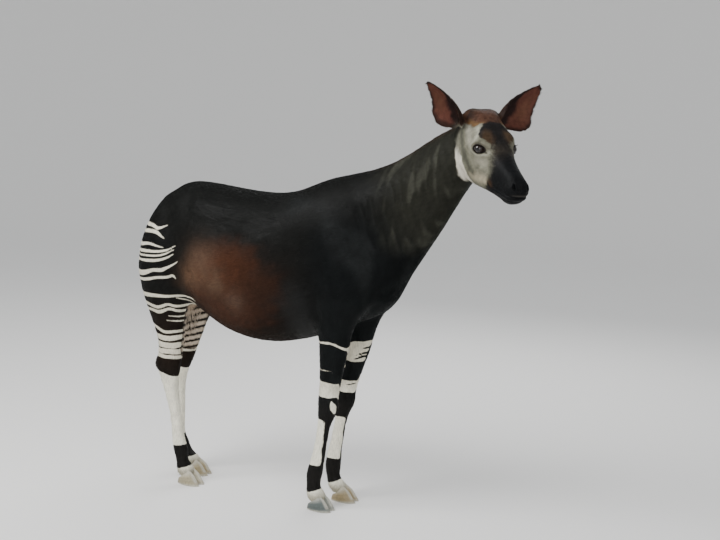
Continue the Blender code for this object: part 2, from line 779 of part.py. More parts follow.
def build():
    clear_scene()
    parts = new_collection("okapi")
    helpers = new_collection("helpers")
    helpers.hide_render = True
    head_axes = head_matrix()
    head_turn = head_axes.to_3x3()
    sides = {"left": 1, "right": -1}

    body = whole_body(parts)
    body.name = "trunk"
    legs = {}
    for leg, kind in LEG_ZONES.items():
        for side_name, hand in sides.items():
            name = f"{leg}_{side_name}"
            legs[name] = part_off(body, leg_zone(hand, kind, helpers), name, parts)
    neck = part_off(body, beyond(*NECK_CUT, helpers), "neck", parts)
    pieces = {"head": HEAD_CUT, "lower_jaw": JAW_CUT}
    upper = neck
    for name, (point, normal) in pieces.items():
        zone = beyond(head_axes @ Vector(point), head_turn @ Vector(normal), helpers)
        upper = part_off(upper, zone, name, parts)
    head = parts.objects["head"]

    for name, leg in legs.items():
        kind, side_name = name.rsplit("_", 1)
        x, height, lean = JOINTS[kind]
        zone = beyond((x, 0.0, height), (lean, 0.0, -1.0), helpers)
        lower = part_off(leg, zone, f"{kind[:4]}_cannon_{side_name}", parts)
        for claw_name, outwards in (("inner", -1), ("outer", 1)):
            side = outwards * sides[side_name]
            horn = claw(f"{kind[:4]}_claw_{claw_name}_{side_name}", *HOOVES[name], side, parts)
            boolean(lower, grown(horn, CUT, "claw_space", helpers), "DIFFERENCE")

    skull = [grown(item, CUT, "skull_space", helpers) for item in (head, neck)]
    for side_name, hand in sides.items():
        shell = ear(f"ear_{side_name}", hand, parts)
        for space in skull:
            boolean(shell, space, "DIFFERENCE")
        boolean(head, eye("eye_space", hand, EYE_RADIUS + CUT, helpers), "DIFFERENCE")
        eye(f"eye_{side_name}", hand, EYE_RADIUS, parts)

    brush = tail(parts)
    for item in (body, legs["hind_leg_left"], legs["hind_leg_right"]):
        boolean(brush, grown(item, CUT, "rump_space", helpers), "DIFFERENCE")

    for item in parts.objects:
        finish(item, slot_of(item.name))
    for item in helpers.objects:
        item.hide_render = True
        item.display_type = "WIRE"


if __name__ == "__main__":
    build()
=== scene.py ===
"""Life-size okapi cow with its head turned to its right, as a still museum model.

One skin runs over the whole body inside the solids of the frame, and tufts of short coat lie
on it. Eyes and hooves are pieces of their own. Lengths are metres, +X to the chest, +Y to the
animal's left, +Z up. Tables count x from the mid point between the fore hooves.
"""

import bmesh
import bpy
import numpy as np
from bpy.props import FloatProperty, FloatVectorProperty, PointerProperty
from mathutils import Matrix, Vector


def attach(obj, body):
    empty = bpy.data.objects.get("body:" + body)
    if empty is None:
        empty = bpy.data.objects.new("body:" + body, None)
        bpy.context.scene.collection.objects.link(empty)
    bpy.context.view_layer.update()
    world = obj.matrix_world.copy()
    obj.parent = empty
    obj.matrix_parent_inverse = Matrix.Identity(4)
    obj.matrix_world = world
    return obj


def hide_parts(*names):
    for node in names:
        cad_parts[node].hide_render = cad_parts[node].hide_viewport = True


bl_info = {
    "name": "Okapi Figure",
    "version": (1, 0, 0),
    "blender": (4, 5, 0),
    "location": "View3D > Sidebar > Okapi",
    "description": "Skin, coat, eyes and hooves of a life-size okapi over its solid frame",
    "category": "Add Mesh",
}

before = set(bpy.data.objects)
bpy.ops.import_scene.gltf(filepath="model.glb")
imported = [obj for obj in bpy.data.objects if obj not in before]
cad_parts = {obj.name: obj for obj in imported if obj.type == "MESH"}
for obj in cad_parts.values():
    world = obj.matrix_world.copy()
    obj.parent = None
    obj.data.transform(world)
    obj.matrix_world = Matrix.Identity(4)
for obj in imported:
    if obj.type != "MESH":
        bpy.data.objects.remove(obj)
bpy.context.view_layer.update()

# Place of the tables' zero point in the frame
OFFSET = np.array((0.0315, 0.0375, 0.0))
SIDES = ("left", "right")

# Pose of the neck and head
HEAD_TURN = -39.0               # degrees, to the left if above 0
HEAD_PITCH = 25.0               # degrees that the nose points down
POLL = (0.630, -0.080, 1.728)   # origin of the head's own axes
NECK_START = 0.140              # x where the neck starts to curve sideways
NECK_CURL = 1.6                 # power of that curve

# Fineness of the lofts
AROUND = 48
STEPS = 6

# Rings of the lofts: height of the widest place as a share, and fullness (2 is an ellipse)
TRUNK_RING = (0.47, 2.15)
NECK_RING = (0.45, 2.1)
LEG_RING = (0.50, 2.1)
TAIL_RING = (0.50, 2.0)
TAIL_AROUND = 16
HEAD_FULLNESS = 2.3

# Smoothing of the joined body: rounds everywhere, rounds where lofts meet, and a last few
SMOOTH_ALL = 6
SMOOTH_TRUNK = 40
SMOOTH_LAST = 8
HEAD_FADE = (0.03, 0.10)        # x of the head's own axis between which the long smoothing ends
HEAD_LOWEST = 1.2               # height above which a point can be of the head
LEG_FADE = (0.62, 0.85)         # heights between which the long smoothing sets in
TAIL_FADE = (-0.955, -0.975)    # x between which it ends on the tail
PLAIN_FACES = 0.74              # share of the faces that is left where the body is plain
NECK_LEAN = (0.35, 1.55)        # a place up the neck is x + 0.35 of its height above 1.55 m

# Stations of the trunk: x, height of back, height of belly, half width
TRUNK = (
    (-0.985, 1.205, 1.060, 0.045),
    (-0.950, 1.280, 0.960, 0.110),
    (-0.890, 1.360, 0.900, 0.160),
    (-0.800, 1.420, 0.870, 0.200),
    (-0.690, 1.425, 0.830, 0.225),
    (-0.560, 1.412, 0.762, 0.255),
    (-0.430, 1.403, 0.728, 0.275),
    (-0.310, 1.406, 0.724, 0.278),
    (-0.200, 1.430, 0.742, 0.262),
    (-0.090, 1.478, 0.775, 0.240),
    (0.020, 1.508, 0.820, 0.212),
    (0.120, 1.500, 0.860, 0.190),
    (0.210, 1.430, 0.905, 0.158),
    (0.270, 1.330, 0.965, 0.115),
    (0.300, 1.220, 1.040, 0.060),
)
# Stations of the neck: x and z of the crest, x and z of the throat, half width
NECK = (
    (-0.120, 1.440, 0.120, 0.900, 0.150),
    (0.020, 1.508, 0.270, 0.985, 0.165),
    (0.130, 1.538, 0.335, 1.085, 0.150),
    (0.235, 1.578, 0.405, 1.190, 0.128),
    (0.330, 1.630, 0.475, 1.292, 0.110),
    (0.415, 1.685, 0.535, 1.388, 0.098),
    (0.490, 1.727, 0.585, 1.465, 0.090),
    (0.545, 1.757, 0.630, 1.530, 0.080),
    (0.600, 1.785, 0.660, 1.580, 0.060),
)
# Stations of the head in its own axes: x from the poll, top, bottom, half width, widest share
HEAD = (
    (-0.060, 0.050, -0.040, 0.040, 0.55),
    (-0.020, 0.104, -0.110, 0.078, 0.60),
    (0.030, 0.117, -0.155, 0.090, 0.60),
    (0.080, 0.114, -0.170, 0.094, 0.60),
    (0.130, 0.102, -0.168, 0.093, 0.65),
    (0.180, 0.083, -0.155, 0.089, 0.69),
    (0.225, 0.064, -0.142, 0.075, 0.62),
    (0.275, 0.048, -0.129, 0.061, 0.52),
    (0.325, 0.036, -0.119, 0.053, 0.50),
    (0.370, 0.028, -0.111, 0.049, 0.48),
    (0.405, 0.020, -0.102, 0.048, 0.46),
    (0.431, 0.006, -0.088, 0.042, 0.46),
    (0.448, -0.016, -0.062, 0.024, 0.46),
)
# Stations of the right fore leg: z, front x, back x, distance from the middle, half width
FORE_LEG = (
    (1.400, 0.060, -0.070, 0.085, 0.030),
    (1.300, 0.120, -0.110, 0.105, 0.055),
    (1.180, 0.195, -0.135, 0.125, 0.072),
    (1.060, 0.230, -0.130, 0.132, 0.078),
    (0.960, 0.210, -0.100, 0.128, 0.072),
    (0.880, 0.150, -0.066, 0.120, 0.062),
    (0.800, 0.115, -0.048, 0.112, 0.054),
    (0.690, 0.088, -0.040, 0.104, 0.046),
    (0.580, 0.062, -0.038, 0.098, 0.039),
    (0.515, 0.052, -0.044, 0.095, 0.039),
    (0.455, 0.046, -0.044, 0.093, 0.038),
    (0.405, 0.024, -0.044, 0.092, 0.030),
    (0.350, 0.010, -0.050, 0.091, 0.026),
    (0.270, 0.000, -0.064, 0.090, 0.025),
    (0.205, -0.008, -0.082, 0.090, 0.029),
    (0.160, -0.015, -0.094, 0.090, 0.033),
    (0.120, -0.024, -0.091, 0.090, 0.031),
    (0.097, -0.022, -0.089, 0.090, 0.034),
    (0.078, -0.008, -0.086, 0.090, 0.041),
    (0.058, 0.000, -0.080, 0.090, 0.041),
    (0.034, -0.004, -0.070, 0.090, 0.034),
)
# The same for the right hind leg
HIND_LEG = (
    (1.370, -0.760, -0.880, 0.070, 0.030),
    (1.280, -0.700, -0.932, 0.100, 0.070),
    (1.150, -0.665, -0.974, 0.122, 0.095),
    (1.020, -0.675, -0.982, 0.130, 0.100),
    (0.920, -0.712, -0.966, 0.126, 0.090),
    (0.840, -0.735, -0.946, 0.118, 0.075),
    (0.760, -0.750, -0.918, 0.110, 0.060),
    (0.680, -0.762, -0.897, 0.102, 0.046),
    (0.620, -0.770, -0.897, 0.098, 0.039),
    (0.560, -0.778, -0.912, 0.095, 0.037),
    (0.505, -0.790, -0.890, 0.092, 0.035),
    (0.440, -0.790, -0.866, 0.090, 0.030),
    (0.350, -0.778, -0.840, 0.088, 0.026),
    (0.270, -0.765, -0.826, 0.086, 0.025),
    (0.205, -0.752, -0.818, 0.085, 0.029),
    (0.160, -0.735, -0.812, 0.084, 0.033),
    (0.120, -0.736, -0.798, 0.083, 0.031),
    (0.097, -0.728, -0.792, 0.082, 0.034),
    (0.078, -0.712, -0.788, 0.082, 0.041),
    (0.058, -0.704, -0.781, 0.082, 0.041),
    (0.034, -0.708, -0.770, 0.082, 0.034),
)
# Tail: x and z of its mid line, half width
TAIL = (
    (-0.925, 1.300, 0.030),
    (-0.968, 1.235, 0.025),
    (-0.995, 1.140, 0.018),
    (-1.000, 1.030, 0.014),
    (-0.993, 0.930, 0.012),
    (-0.978, 0.855, 0.011),
    (-0.965, 0.790, 0.010),
    (-0.960, 0.745, 0.008),
)
# How far the left legs stand forward of the right ones: height, distance
FORE_LEFT_SHIFT = (
    (0.00, 0.030),
    (0.10, 0.008),
    (0.22, -0.006),
    (0.52, -0.008),
    (0.72, 0.012),
    (0.90, 0.010),
    (1.05, 0.000),
    (1.40, 0.000),
)
HIND_LEFT_SHIFT = (
    (0.00, -0.062),
    (0.08, -0.076),
    (0.17, -0.118),
    (0.30, -0.096),
    (0.42, -0.082),
    (0.55, -0.054),
    (0.68, -0.026),
    (0.80, -0.004),
    (0.90, 0.000),
    (1.40, 0.000),
)
# Ears, left (1) and right (-1): share of the length, reach of the outer and inner edge
EAR_EDGES = {
    1: (
        (0.00, 0.026, 0.026),
        (0.12, 0.050, 0.042),
        (0.25, 0.082, 0.047),
        (0.38, 0.108, 0.043),
        (0.50, 0.108, 0.035),
        (0.60, 0.082, 0.029),
        (0.72, 0.062, 0.022),
        (0.85, 0.043, 0.014),
        (0.95, 0.024, 0.007),
        (1.00, 0.004, 0.003),
    ),
    -1: (
        (0.00, 0.024, 0.026),
        (0.12, 0.050, 0.042),
        (0.25, 0.078, 0.047),
        (0.38, 0.086, 0.043),
        (0.52, 0.070, 0.034),
        (0.68, 0.049, 0.024),
        (0.85, 0.032, 0.014),
        (0.95, 0.018, 0.007),
        (1.00, 0.003, 0.003),
    ),
}
EAR_LENGTH = 0.238
EAR_ROOT = (0.012, 0.079, 0.060)    # x, distance from the middle, z in the head's axes
EAR_RISE = 40.0                     # degrees above the horizontal, seen from the front
EAR_BACK = 9.0                      # degrees that the ear leans back
EAR_DEPTH = 0.018                   # how far the middle of the ear bows back
EAR_CURL = (115, 60, 15)            # degrees of half curl: at the root, lost by mid ear, by the tip
EAR_WALL = 0.0052
EAR_WAVES = {1: 0.035, -1: 0.015}   # unevenness of the outer edge, as a share of its reach
# Which way the hollow side faces, left (1) and right (-1)
EAR_FACING = {1: (0.97, -0.22, -0.20), -1: (0.32, 0.95, -0.10)}
EAR_ROWS = 46
EAR_COLUMNS = 31
# Eyes, in the head's axes: the left ball, its gaze, the way of its slit, and how far the lids open
# to the front and back, and up and down
EYE_RADIUS = 0.0215
LID_THICKNESS = 0.0024
EYE_CENTRE = (0.182, 0.074, 0.024)
EYE_LOOK = (0.56, 0.80, 0.20)
EYE_SLIT = (1.0, 0.0, 0.30)
EYE_LENGTH = (0.0265, 0.0205)
EYE_HEIGHT = (0.0165, 0.0145)
# Muzzle, in the head's axes: the left nostril and its facing, front end and slope of the lips' line
NOSTRIL = (0.430, 0.029, -0.010)
NOSTRIL_FACING = (0.74, 0.62, 0.22)
LIP_TIP = (0.449, -0.046)
LIP_SLOPE = 0.22
# Swellings (+) and hollows (-) of the body: x, distance from the middle, z, radius, height
BODY_SWELLINGS = (
    (0.060, 0.190, 1.270, 0.120, 0.010),
    (0.235, 0.130, 1.090, 0.075, 0.014),
    (-0.130, 0.245, 1.180, 0.110, -0.012),
    (-0.625, 0.190, 1.350, 0.055, 0.020),
    (-0.500, 0.240, 1.250, 0.120, -0.022),
    (-0.965, 0.075, 1.215, 0.055, 0.008),
    (-0.840, 0.215, 1.060, 0.130, 0.010),
    (-0.700, 0.180, 0.930, 0.070, 0.014),
    (-0.060, 0.150, 0.900, 0.045, 0.012),
    (0.052, 0.092, 0.480, 0.030, 0.005),
    (-0.905, 0.092, 0.560, 0.022, 0.008),
)
# The same for the head, in its own axes
HEAD_SWELLINGS = (
    (0.165, 0.066, 0.064, 0.030, 0.011),
    (0.100, 0.088, -0.090, 0.050, 0.006),
    (0.240, 0.062, -0.015, 0.035, -0.006),
    (0.415, 0.038, -0.020, 0.020, 0.006),
    (0.055, 0.034, 0.114, 0.026, 0.006),
    (0.385, 0.000, -0.106, 0.022, 0.006),
    (0.005, 0.080, 0.066, 0.036, 0.014),
    (0.012, 0.054, 0.096, 0.032, 0.013),
)
# Creases of the skin: lines of x, z on the outside of the body, then depth and half width
CREASES = (
    (((0.124, 1.413), (0.166, 1.345), (0.207, 1.255), (0.277, 1.152)), 0.0050, 0.014),
    (((0.228, 1.442), (0.280, 1.341), (0.313, 1.249), (0.351, 1.162)), 0.0050, 0.014),
    (((0.180, 1.440), (0.205, 1.380), (0.222, 1.310)), 0.0032, 0.012),
    (((0.325, 1.360), (0.350, 1.290), (0.380, 1.222)), 0.0034, 0.012),
    (((0.431, 1.610), (0.440, 1.540), (0.454, 1.470)), 0.0034, 0.011),
    (((0.482, 1.642), (0.492, 1.600), (0.499, 1.550)), 0.0030, 0.010),
    (((0.371, 1.568), (0.382, 1.520), (0.390, 1.460)), 0.0034, 0.011),
    (((0.320, 1.522), (0.333, 1.470), (0.345, 1.400)), 0.0030, 0.011),
    (((0.530, 1.630), (0.536, 1.570), (0.538, 1.500)), 0.0028, 0.010),
    (((0.270, 1.510), (0.285, 1.460), (0.305, 1.400)), 0.0028, 0.011),
    (((-0.033, 1.090), (-0.040, 1.000), (-0.034, 0.930), (-0.009, 0.860)), 0.0050, 0.018),
    (((-0.660, 1.080), (-0.652, 1.000), (-0.660, 0.930), (-0.690, 0.870)), 0.0055, 0.015),
    (((-0.400, 1.340), (-0.410, 1.250), (-0.440, 1.170)), 0.0020, 0.024),
    (((-0.290, 1.360), (-0.310, 1.270), (-0.345, 1.190)), 0.0018, 0.024),
    (((-0.200, 1.330), (-0.215, 1.250), (-0.235, 1.180)), 0.0015, 0.024),
)
# White stripes of the haunch and hind leg: x, z and half thickness along each
HAUNCH_STRIPES = (
    ((-1.020, 1.228, 0.008), (-0.890, 1.222, 0.009), (-0.853, 1.212, 0.008), (-0.798, 1.230, 0.002)),
    ((-1.020, 1.188, 0.010), (-0.893, 1.196, 0.009), (-0.846, 1.191, 0.008), (-0.806, 1.170, 0.003)),
    ((-1.020, 1.134, 0.010), (-0.948, 1.132, 0.010), (-0.881, 1.140, 0.007), (-0.800, 1.127, 0.002)),
    ((-1.020, 1.102, 0.008), (-0.938, 1.103, 0.008), (-0.800, 1.114, 0.006), (-0.741, 1.142, 0.002)),
    ((-1.020, 1.082, 0.005), (-0.933, 1.083, 0.005), (-0.817, 1.092, 0.005), (-0.747, 1.122, 0.002)),
    ((-1.020, 1.060, 0.007), (-0.929, 1.061, 0.007), (-0.815, 1.072, 0.007), (-0.746, 1.104, 0.002)),
    ((-1.020, 0.996, 0.015), (-0.918, 1.003, 0.014), (-0.849, 1.023, 0.010), (-0.794, 1.029, 0.009),
     (-0.724, 1.073, 0.002)),
    ((-1.020, 0.968, 0.008), (-0.922, 0.972, 0.008), (-0.782, 0.997, 0.007), (-0.752, 1.006, 0.006),
     (-0.736, 0.992, 0.002)),
    ((-1.020, 0.899, 0.011), (-0.916, 0.899, 0.011), (-0.794, 0.905, 0.008), (-0.721, 0.909, 0.006),
     (-0.650, 0.895, 0.004)),
    ((-0.748, 0.897, 0.003), (-0.720, 0.890, 0.004), (-0.670, 0.872, 0.003)),
    ((-1.020, 0.857, 0.009), (-0.916, 0.857, 0.009), (-0.854, 0.845, 0.009), (-0.795, 0.863, 0.007),
     (-0.757, 0.855, 0.007), (-0.690, 0.868, 0.005)),
    ((-1.020, 0.830, 0.008), (-0.900, 0.828, 0.008), (-0.847, 0.822, 0.010), (-0.792, 0.842, 0.007),
     (-0.751, 0.833, 0.007), (-0.680, 0.836, 0.004)),
    ((-0.800, 0.808, 0.002), (-0.760, 0.806, 0.004), (-0.690, 0.808, 0.004)),
    ((-0.810, 0.785, 0.002), (-0.760, 0.783, 0.004), (-0.690, 0.786, 0.004)),
    ((-1.020, 0.760, 0.006), (-0.894, 0.749, 0.007), (-0.824, 0.726, 0.008), (-0.755, 0.736, 0.006),
     (-0.680, 0.748, 0.005)),
    ((-1.020, 0.712, 0.009), (-0.880, 0.700, 0.012), (-0.809, 0.693, 0.012), (-0.759, 0.706, 0.010),
     (-0.680, 0.716, 0.008)),
    ((-1.020, 0.672, 0.011), (-0.880, 0.664, 0.013), (-0.808, 0.659, 0.013), (-0.764, 0.667, 0.012),
     (-0.680, 0.676, 0.010)),
    ((-1.020, 0.636, 0.010), (-0.820, 0.630, 0.012), (-0.680, 0.640, 0.011)),
    ((-1.020, 0.608, 0.007), (-0.880, 0.606, 0.008), (-0.820, 0.603, 0.008), (-0.680, 0.612, 0.008)),
)
# White lines on the outside of the fore legs: x, z and half thickness
FORE_STRIPES = (
    ((-0.060, 0.772, 0.003), (-0.012, 0.776, 0.0045), (0.045, 0.777, 0.0045), (0.085, 0.760, 0.005),
     (0.140, 0.728, 0.008)),
    ((-0.050, 0.654, 0.0012), (-0.016, 0.652, 0.0018), (0.030, 0.646, 0.0012), (0.060, 0.640, -0.003)),
    ((-0.080, 0.566, 0.036), (0.000, 0.562, 0.034), (0.100, 0.556, 0.030)),
    ((0.034, 0.510, 0.002), (0.040, 0.485, 0.011), (0.046, 0.450, 0.004)),
)
# White places on the inside of the fore legs, and dark bars across them
FORE_INNER_STRIPES = (
    ((-0.060, 0.700, 0.030), (0.040, 0.706, 0.046), (0.120, 0.716, 0.048)),
    ((-0.080, 0.545, 0.028), (0.100, 0.540, 0.026)),
)
FORE_INNER_BARS = (
    ((0.060, 0.722, 0.001), (0.085, 0.728, 0.004), (0.130, 0.738, 0.004)),
    ((0.040, 0.690, 0.001), (0.070, 0.700, 0.005), (0.130, 0.716, 0.004)),
    ((0.030, 0.672, 0.0005), (0.065, 0.682, 0.005), (0.130, 0.700, 0.005)),
    ((0.000, 0.548, 0.0005), (0.040, 0.553, 0.003), (0.090, 0.560, 0.003)),
)
# Hooves: x of the heel, distance of the middle line to the left, degrees turned out, tint
HOOVES = {
    "fore_left": (-0.046, 0.090, 2.0, (0.300, 0.235, 0.125)),
    "fore_right": (-0.076, -0.090, 2.0, (0.085, 0.104, 0.098)),
    "hind_left": (-0.834, 0.078, 3.0, (0.330, 0.270, 0.150)),
    "hind_right": (-0.775, -0.082, 3.0, (0.330, 0.290, 0.190)),
}
CLAW_GAP = 0.003
CLAW_LEAN = 0.45                # share of the length that the toe wall leans back
CLAW_HEEL_LEAN = 0.05           # share of the length that the heel leans forward
CLAW_HEEL_ROUND = 0.11          # share of the length that the heel's top is drawn in
CLAW_TAPER = 0.22               # share of the width lost at the top
CLAW_OUTER = 1.25               # the side away from the cleft bulges more
CLAW_INNER = 0.75
CLAW_PALE = (0.52, 0.50, 0.42)

# Markings are known this far into and out of the white
MARKING_REACH = 0.03
# Colours of the coat, as linear red, green and blue
TINT = {
    "body": (0.0062, 0.0064, 0.0058),
    "shoulder": (0.0042, 0.0052, 0.0054),
    # painted sheen in soft patches on the shoulder
    "shoulder_painted_sheen": (0.0180, 0.0195, 0.0195),
    "belly": (0.013, 0.0075, 0.0045),
    "flank": (0.050, 0.0190, 0.0095),
    "neck": (0.0205, 0.0205, 0.0155),
    # painted sheen: the lighter streaks of light on the neck's hair
    "neck_sheen_streak": (0.049, 0.049, 0.038),
    "crest": (0.026, 0.0145, 0.0090),
    "lower_leg": (0.010, 0.0092, 0.0085),
    "inner_thigh": (0.330, 0.225, 0.140),
    "inner_thigh_low": (0.560, 0.470, 0.370),
    "thigh_bar": (0.010, 0.009, 0.008),
    "white": (0.66, 0.62, 0.50),
    "white_low": (0.80, 0.77, 0.64),
    "white_foot": (0.42, 0.39, 0.30),
    "white_head": (0.70, 0.66, 0.56),
    "cheek": (0.215, 0.208, 0.155),
    "ear_foot": (0.040, 0.027, 0.020),
    "front": (0.015, 0.0135, 0.0130),
    "bridge": (0.034, 0.028, 0.021),
    "brow": (0.066, 0.042, 0.025),
    "muzzle": (0.0055, 0.0058, 0.0062),
    "crown": (0.082, 0.040, 0.026),
    "crown_dark": (0.042, 0.021, 0.014),
    "crown_tan": (0.150, 0.086, 0.038),
    "eye_ring": (0.330, 0.320, 0.250),
    # painted shade on the ring above the eye
    "eye_shade_above": (0.085, 0.075, 0.055),
    "eye_rim": (0.010, 0.008, 0.007),
    "eye_corner": (0.040, 0.024, 0.017),
    "mouth_corner": (0.075, 0.042, 0.022),
    "lip": (0.10, 0.092, 0.080),
    "jaw_white": (0.62, 0.58, 0.49),
    "throat": (0.05, 0.05, 0.04),
    "ear": (0.108, 0.040, 0.029),
    "ear_middle": (0.125, 0.054, 0.034),
    # painted shade deep in the ear's hollow
    "ear_hollow_shade": (0.020, 0.011, 0.010),
    "ear_root": (0.060, 0.026, 0.014),
    "ear_back": (0.050, 0.026, 0.017),
    "ear_back_tip": (0.022, 0.014, 0.011),
    "ear_rim": (0.020, 0.012, 0.010),
}
# Lighter and darker places of the flank: x and z, radius, colour; the lighter ones are painted
# highlights
FLANK_HIGHLIGHTS_AND_PATCHES = (
    ((-0.590, 1.090), 0.080, (0.100, 0.060, 0.040)),
    ((-0.270, 0.985), 0.120, (0.025, 0.0125, 0.0080)),
    ((-0.470, 0.930), 0.080, (0.040, 0.016, 0.008)),
    ((-0.640, 1.010), 0.065, (0.105, 0.058, 0.034)),
    ((-0.500, 1.000), 0.055, (0.100, 0.060, 0.038)),
    ((-0.400, 0.930), 0.050, (0.085, 0.050, 0.034)),
)
# Strokes on the cheek, in the head's axes: line of x and z, half width, colour, strength
CHEEK_STROKES = (
    (((0.120, 0.082), (0.150, 0.066), (0.146, 0.040)), 0.013, (0.50, 0.49, 0.40), 0.75),
    (((0.070, 0.058), (0.100, 0.048), (0.130, 0.020)), 0.015, (0.46, 0.44, 0.36), 0.70),
    (((0.205, -0.020), (0.240, -0.012)), 0.018, (0.40, 0.38, 0.30), 0.60),
    (((0.180, -0.100), (0.230, -0.085), (0.262, -0.075)), 0.020, (0.56, 0.49, 0.35), 0.70),
    (((0.040, 0.030), (0.084, -0.018), (0.136, -0.055), (0.180, -0.080)), 0.019,
     (0.095, 0.095, 0.072), 0.85),
    (((0.195, -0.046), (0.225, -0.050), (0.255, -0.040)), 0.007, (0.15, 0.14, 0.11), 0.60),
    (((0.010, 0.010), (0.020, -0.040)), 0.012, (0.26, 0.25, 0.20), 0.70),
)
# Edges on the head, in its own axes. Heights, then x of the dark front's edge
FRONT_EDGE = (
    (-0.108, -0.078, -0.037, -0.001, 0.031, 0.055, 0.066, 0.070, 0.079, 0.096, 0.100),
    (0.262, 0.275, 0.287, 0.274, 0.253, 0.218, 0.195, 0.160, 0.136, 0.110, 0.102),
)
# Heights, then how far that edge fades
FRONT_FADE = ((-0.08, -0.04, 0.01, 0.045, 0.075), (0.012, 0.026, 0.034, 0.020, 0.007))
# x, then height of the crown's lower edge
CROWN_EDGE = (
    (-0.060, -0.043, 0.000, 0.047, 0.098, 0.106),
    (-0.02, 0.00, 0.036, 0.066, 0.078, 0.098),
)
CROWN_TAN_LINE = ((0.060, 0.076), (0.085, 0.082), (0.104, 0.092))
# Heights, then x where the face ends in front of the neck
FACE_REAR = (
    (-0.215, -0.175, -0.141, -0.103, -0.040, -0.007, 0.03, 0.12),
    (0.105, 0.087, 0.076, 0.056, 0.015, -0.030, -0.045, -0.050),
)
# Heights, then x of the front edge of the white at the angle of the jaw
JAW_WHITE_EDGE = (
    (-0.20, -0.15, -0.117, -0.085, -0.057, -0.045),
    (0.200, 0.176, 0.146, 0.124, 0.096, 0.078),
)
# Share of an ear's length, then place across it where the painted shade deep in its hollow ends
EAR_SHADE_EDGE = (
    (0.09, 0.22, 0.43, 0.55, 0.65, 0.80, 1.0),
    (0.80, 0.46, 0.30, 0.0, -0.25, -0.55, -1.0),
)
# Heights, then share of the inner thigh's depth behind which it has no bars
THIGH_BARE = ((0.62, 0.74, 0.90, 0.96), (0.10, 0.40, 0.62, 0.90))

# Tufts of each part of the coat: how many on the left and right, and length, width and rise of the tips
COAT_PARTS = {
    "trunk_rear": (19000, 24000, 0.0130, 0.0017, 0.0014),
    "trunk_front": (17000, 22000, 0.0130, 0.0017, 0.0014),
    "neck": (12000, 17000, 0.0120, 0.0016, 0.0018),
    "head": (21000, 28000, 0.0062, 0.0009, 0.0011),
    "ear": (9000, 9000, 0.0070, 0.0009, 0.0012),
    "hind": (15000, 21000, 0.0100, 0.0014, 0.0018),
    "fore": (12000, 13000, 0.0090, 0.0013, 0.0016),
}
COAT = {
    f"{part}_{side}": (row[i], *row[2:])
    for part, row in COAT_PARTS.items()
    for i, side in enumerate(SIDES)
}
COAT["tail"] = (3000, 0.0260, 0.0018, 0.0040)
# A tuft's faces over its root, its ring of three and its tip; the spread of its five points on the
# unwrap; and how light each of them is
TUFT_FACES = np.array(((0, 2, 1), (0, 3, 2), (0, 1, 3), (4, 1, 2), (4, 2, 3), (4, 3, 1)))
TUFT_SPREAD = np.array(((0.0, -0.0015), (-0.0012, 0.0), (0.0012, 0.0), (0.0, 0.0003), (0.0, 0.0015)))
TUFT_LIGHT = (0.86, 1.0, 1.0, 1.0, 1.10)
LASH_COUNT = 150

# Solids of the frame that the skin and the claws stand for
LIMBS = ("fore_leg", "hind_leg", "fore_cannon", "hind_cannon")
FLESH = ["trunk", "neck", "head", "lower_jaw", "tail", "ear_left", "ear_right"]
FLESH += [f"{limb}_{side}" for limb in LIMBS for side in SIDES]
CLAWS = [
    f"{leg}_claw_{place}_{side}"
    for leg in ("fore", "hind")
    for place in ("inner", "outer")
    for side in SIDES
]

# Camera: place, and its right, up and forward directions
CAMERA_PLACE = (2.806, -5.4685, 1.995)
CAMERA_RIGHT = (0.89555, 0.44323, 0.03918)
CAMERA_UP = (-0.09959, 0.11383, 0.9885)
CAMERA_FORWARD = (-0.43367, 0.88915, -0.14608)
CAMERA_LENS = 70.15
SENSOR_WIDTH = 36.0
# Floor: radius where it starts to rise, radius of the rise, height of its far edge
FLOOR_RADIUS, FLOOR_RISE, FLOOR_EDGE = 9, 5, 9.0
# Lights: name, place, aim, size
LIGHTS = (
    ("key", (-1.8, -2.6, 4.2), (-0.1, 0, 1.0), 2.6),
    ("fill", (3.6, -4.6, 2.6), (0, 0, 1.1), 3.0),
    ("back", (-0.6, 3.6, 3.4), (0, 0, 1.2), 3.0),
)


def ramp(low, high, value):
    """0 below low, 1 above high, and a smooth cubic between."""
    share = np.clip((value - low) / (high - low), 0.0, 1.0)
    return share * share * (3 - 2 * share)


def bump(distance, width):
    """A bell curve of the distance."""
    return np.exp(-((distance / width) ** 2))


def both(first, second, radius=0.007):
    """Metres inside both of two areas, whose corner is rounded: the radius less the hypotenuse."""
    corner = np.hypot(np.maximum(radius - first, 0), np.maximum(radius - second, 0))
    return np.maximum(radius, np.minimum(first, second)) - corner


def within(values, low, high):
    """0 at low, 1 at high, and straight between."""
    return np.clip((values - low) / (high - low), 0.0, 1.0)


def unit(vectors):
    return vectors / np.maximum(np.linalg.norm(vectors, axis=-1, keepdims=True), 1e-9)


def on_side(place, hand):
    """A place or direction told for the left side, on the left (1) or the right (-1)."""
    return np.array(place) * (1, hand, 1)


def mixed(values, target, share):
    """Rows of values moved by their share, 0 to 1, of the way to the target."""
    return values + (np.asarray(target) - values) * np.clip(share, 0, 1)[:, None]


def filled(like, colour):
    """As many rows of the colour as there are rows to be like."""
    return np.tile(np.array(colour), (len(like), 1))


def ripple(points, scale, seed):
    """Smooth unevenness from -1 to 1: the mean of eight sine waves of unlike directions."""
    chance = np.random.default_rng(seed)
    waves = unit(chance.normal(size=(8, 3))) * chance.uniform(0.6, 1.6, (8, 1)) / scale
    starts = chance.uniform(0, 2 * np.pi, 8)
    return np.sin(points @ waves.T * 2 * np.pi + starts).mean(-1) * 1.6


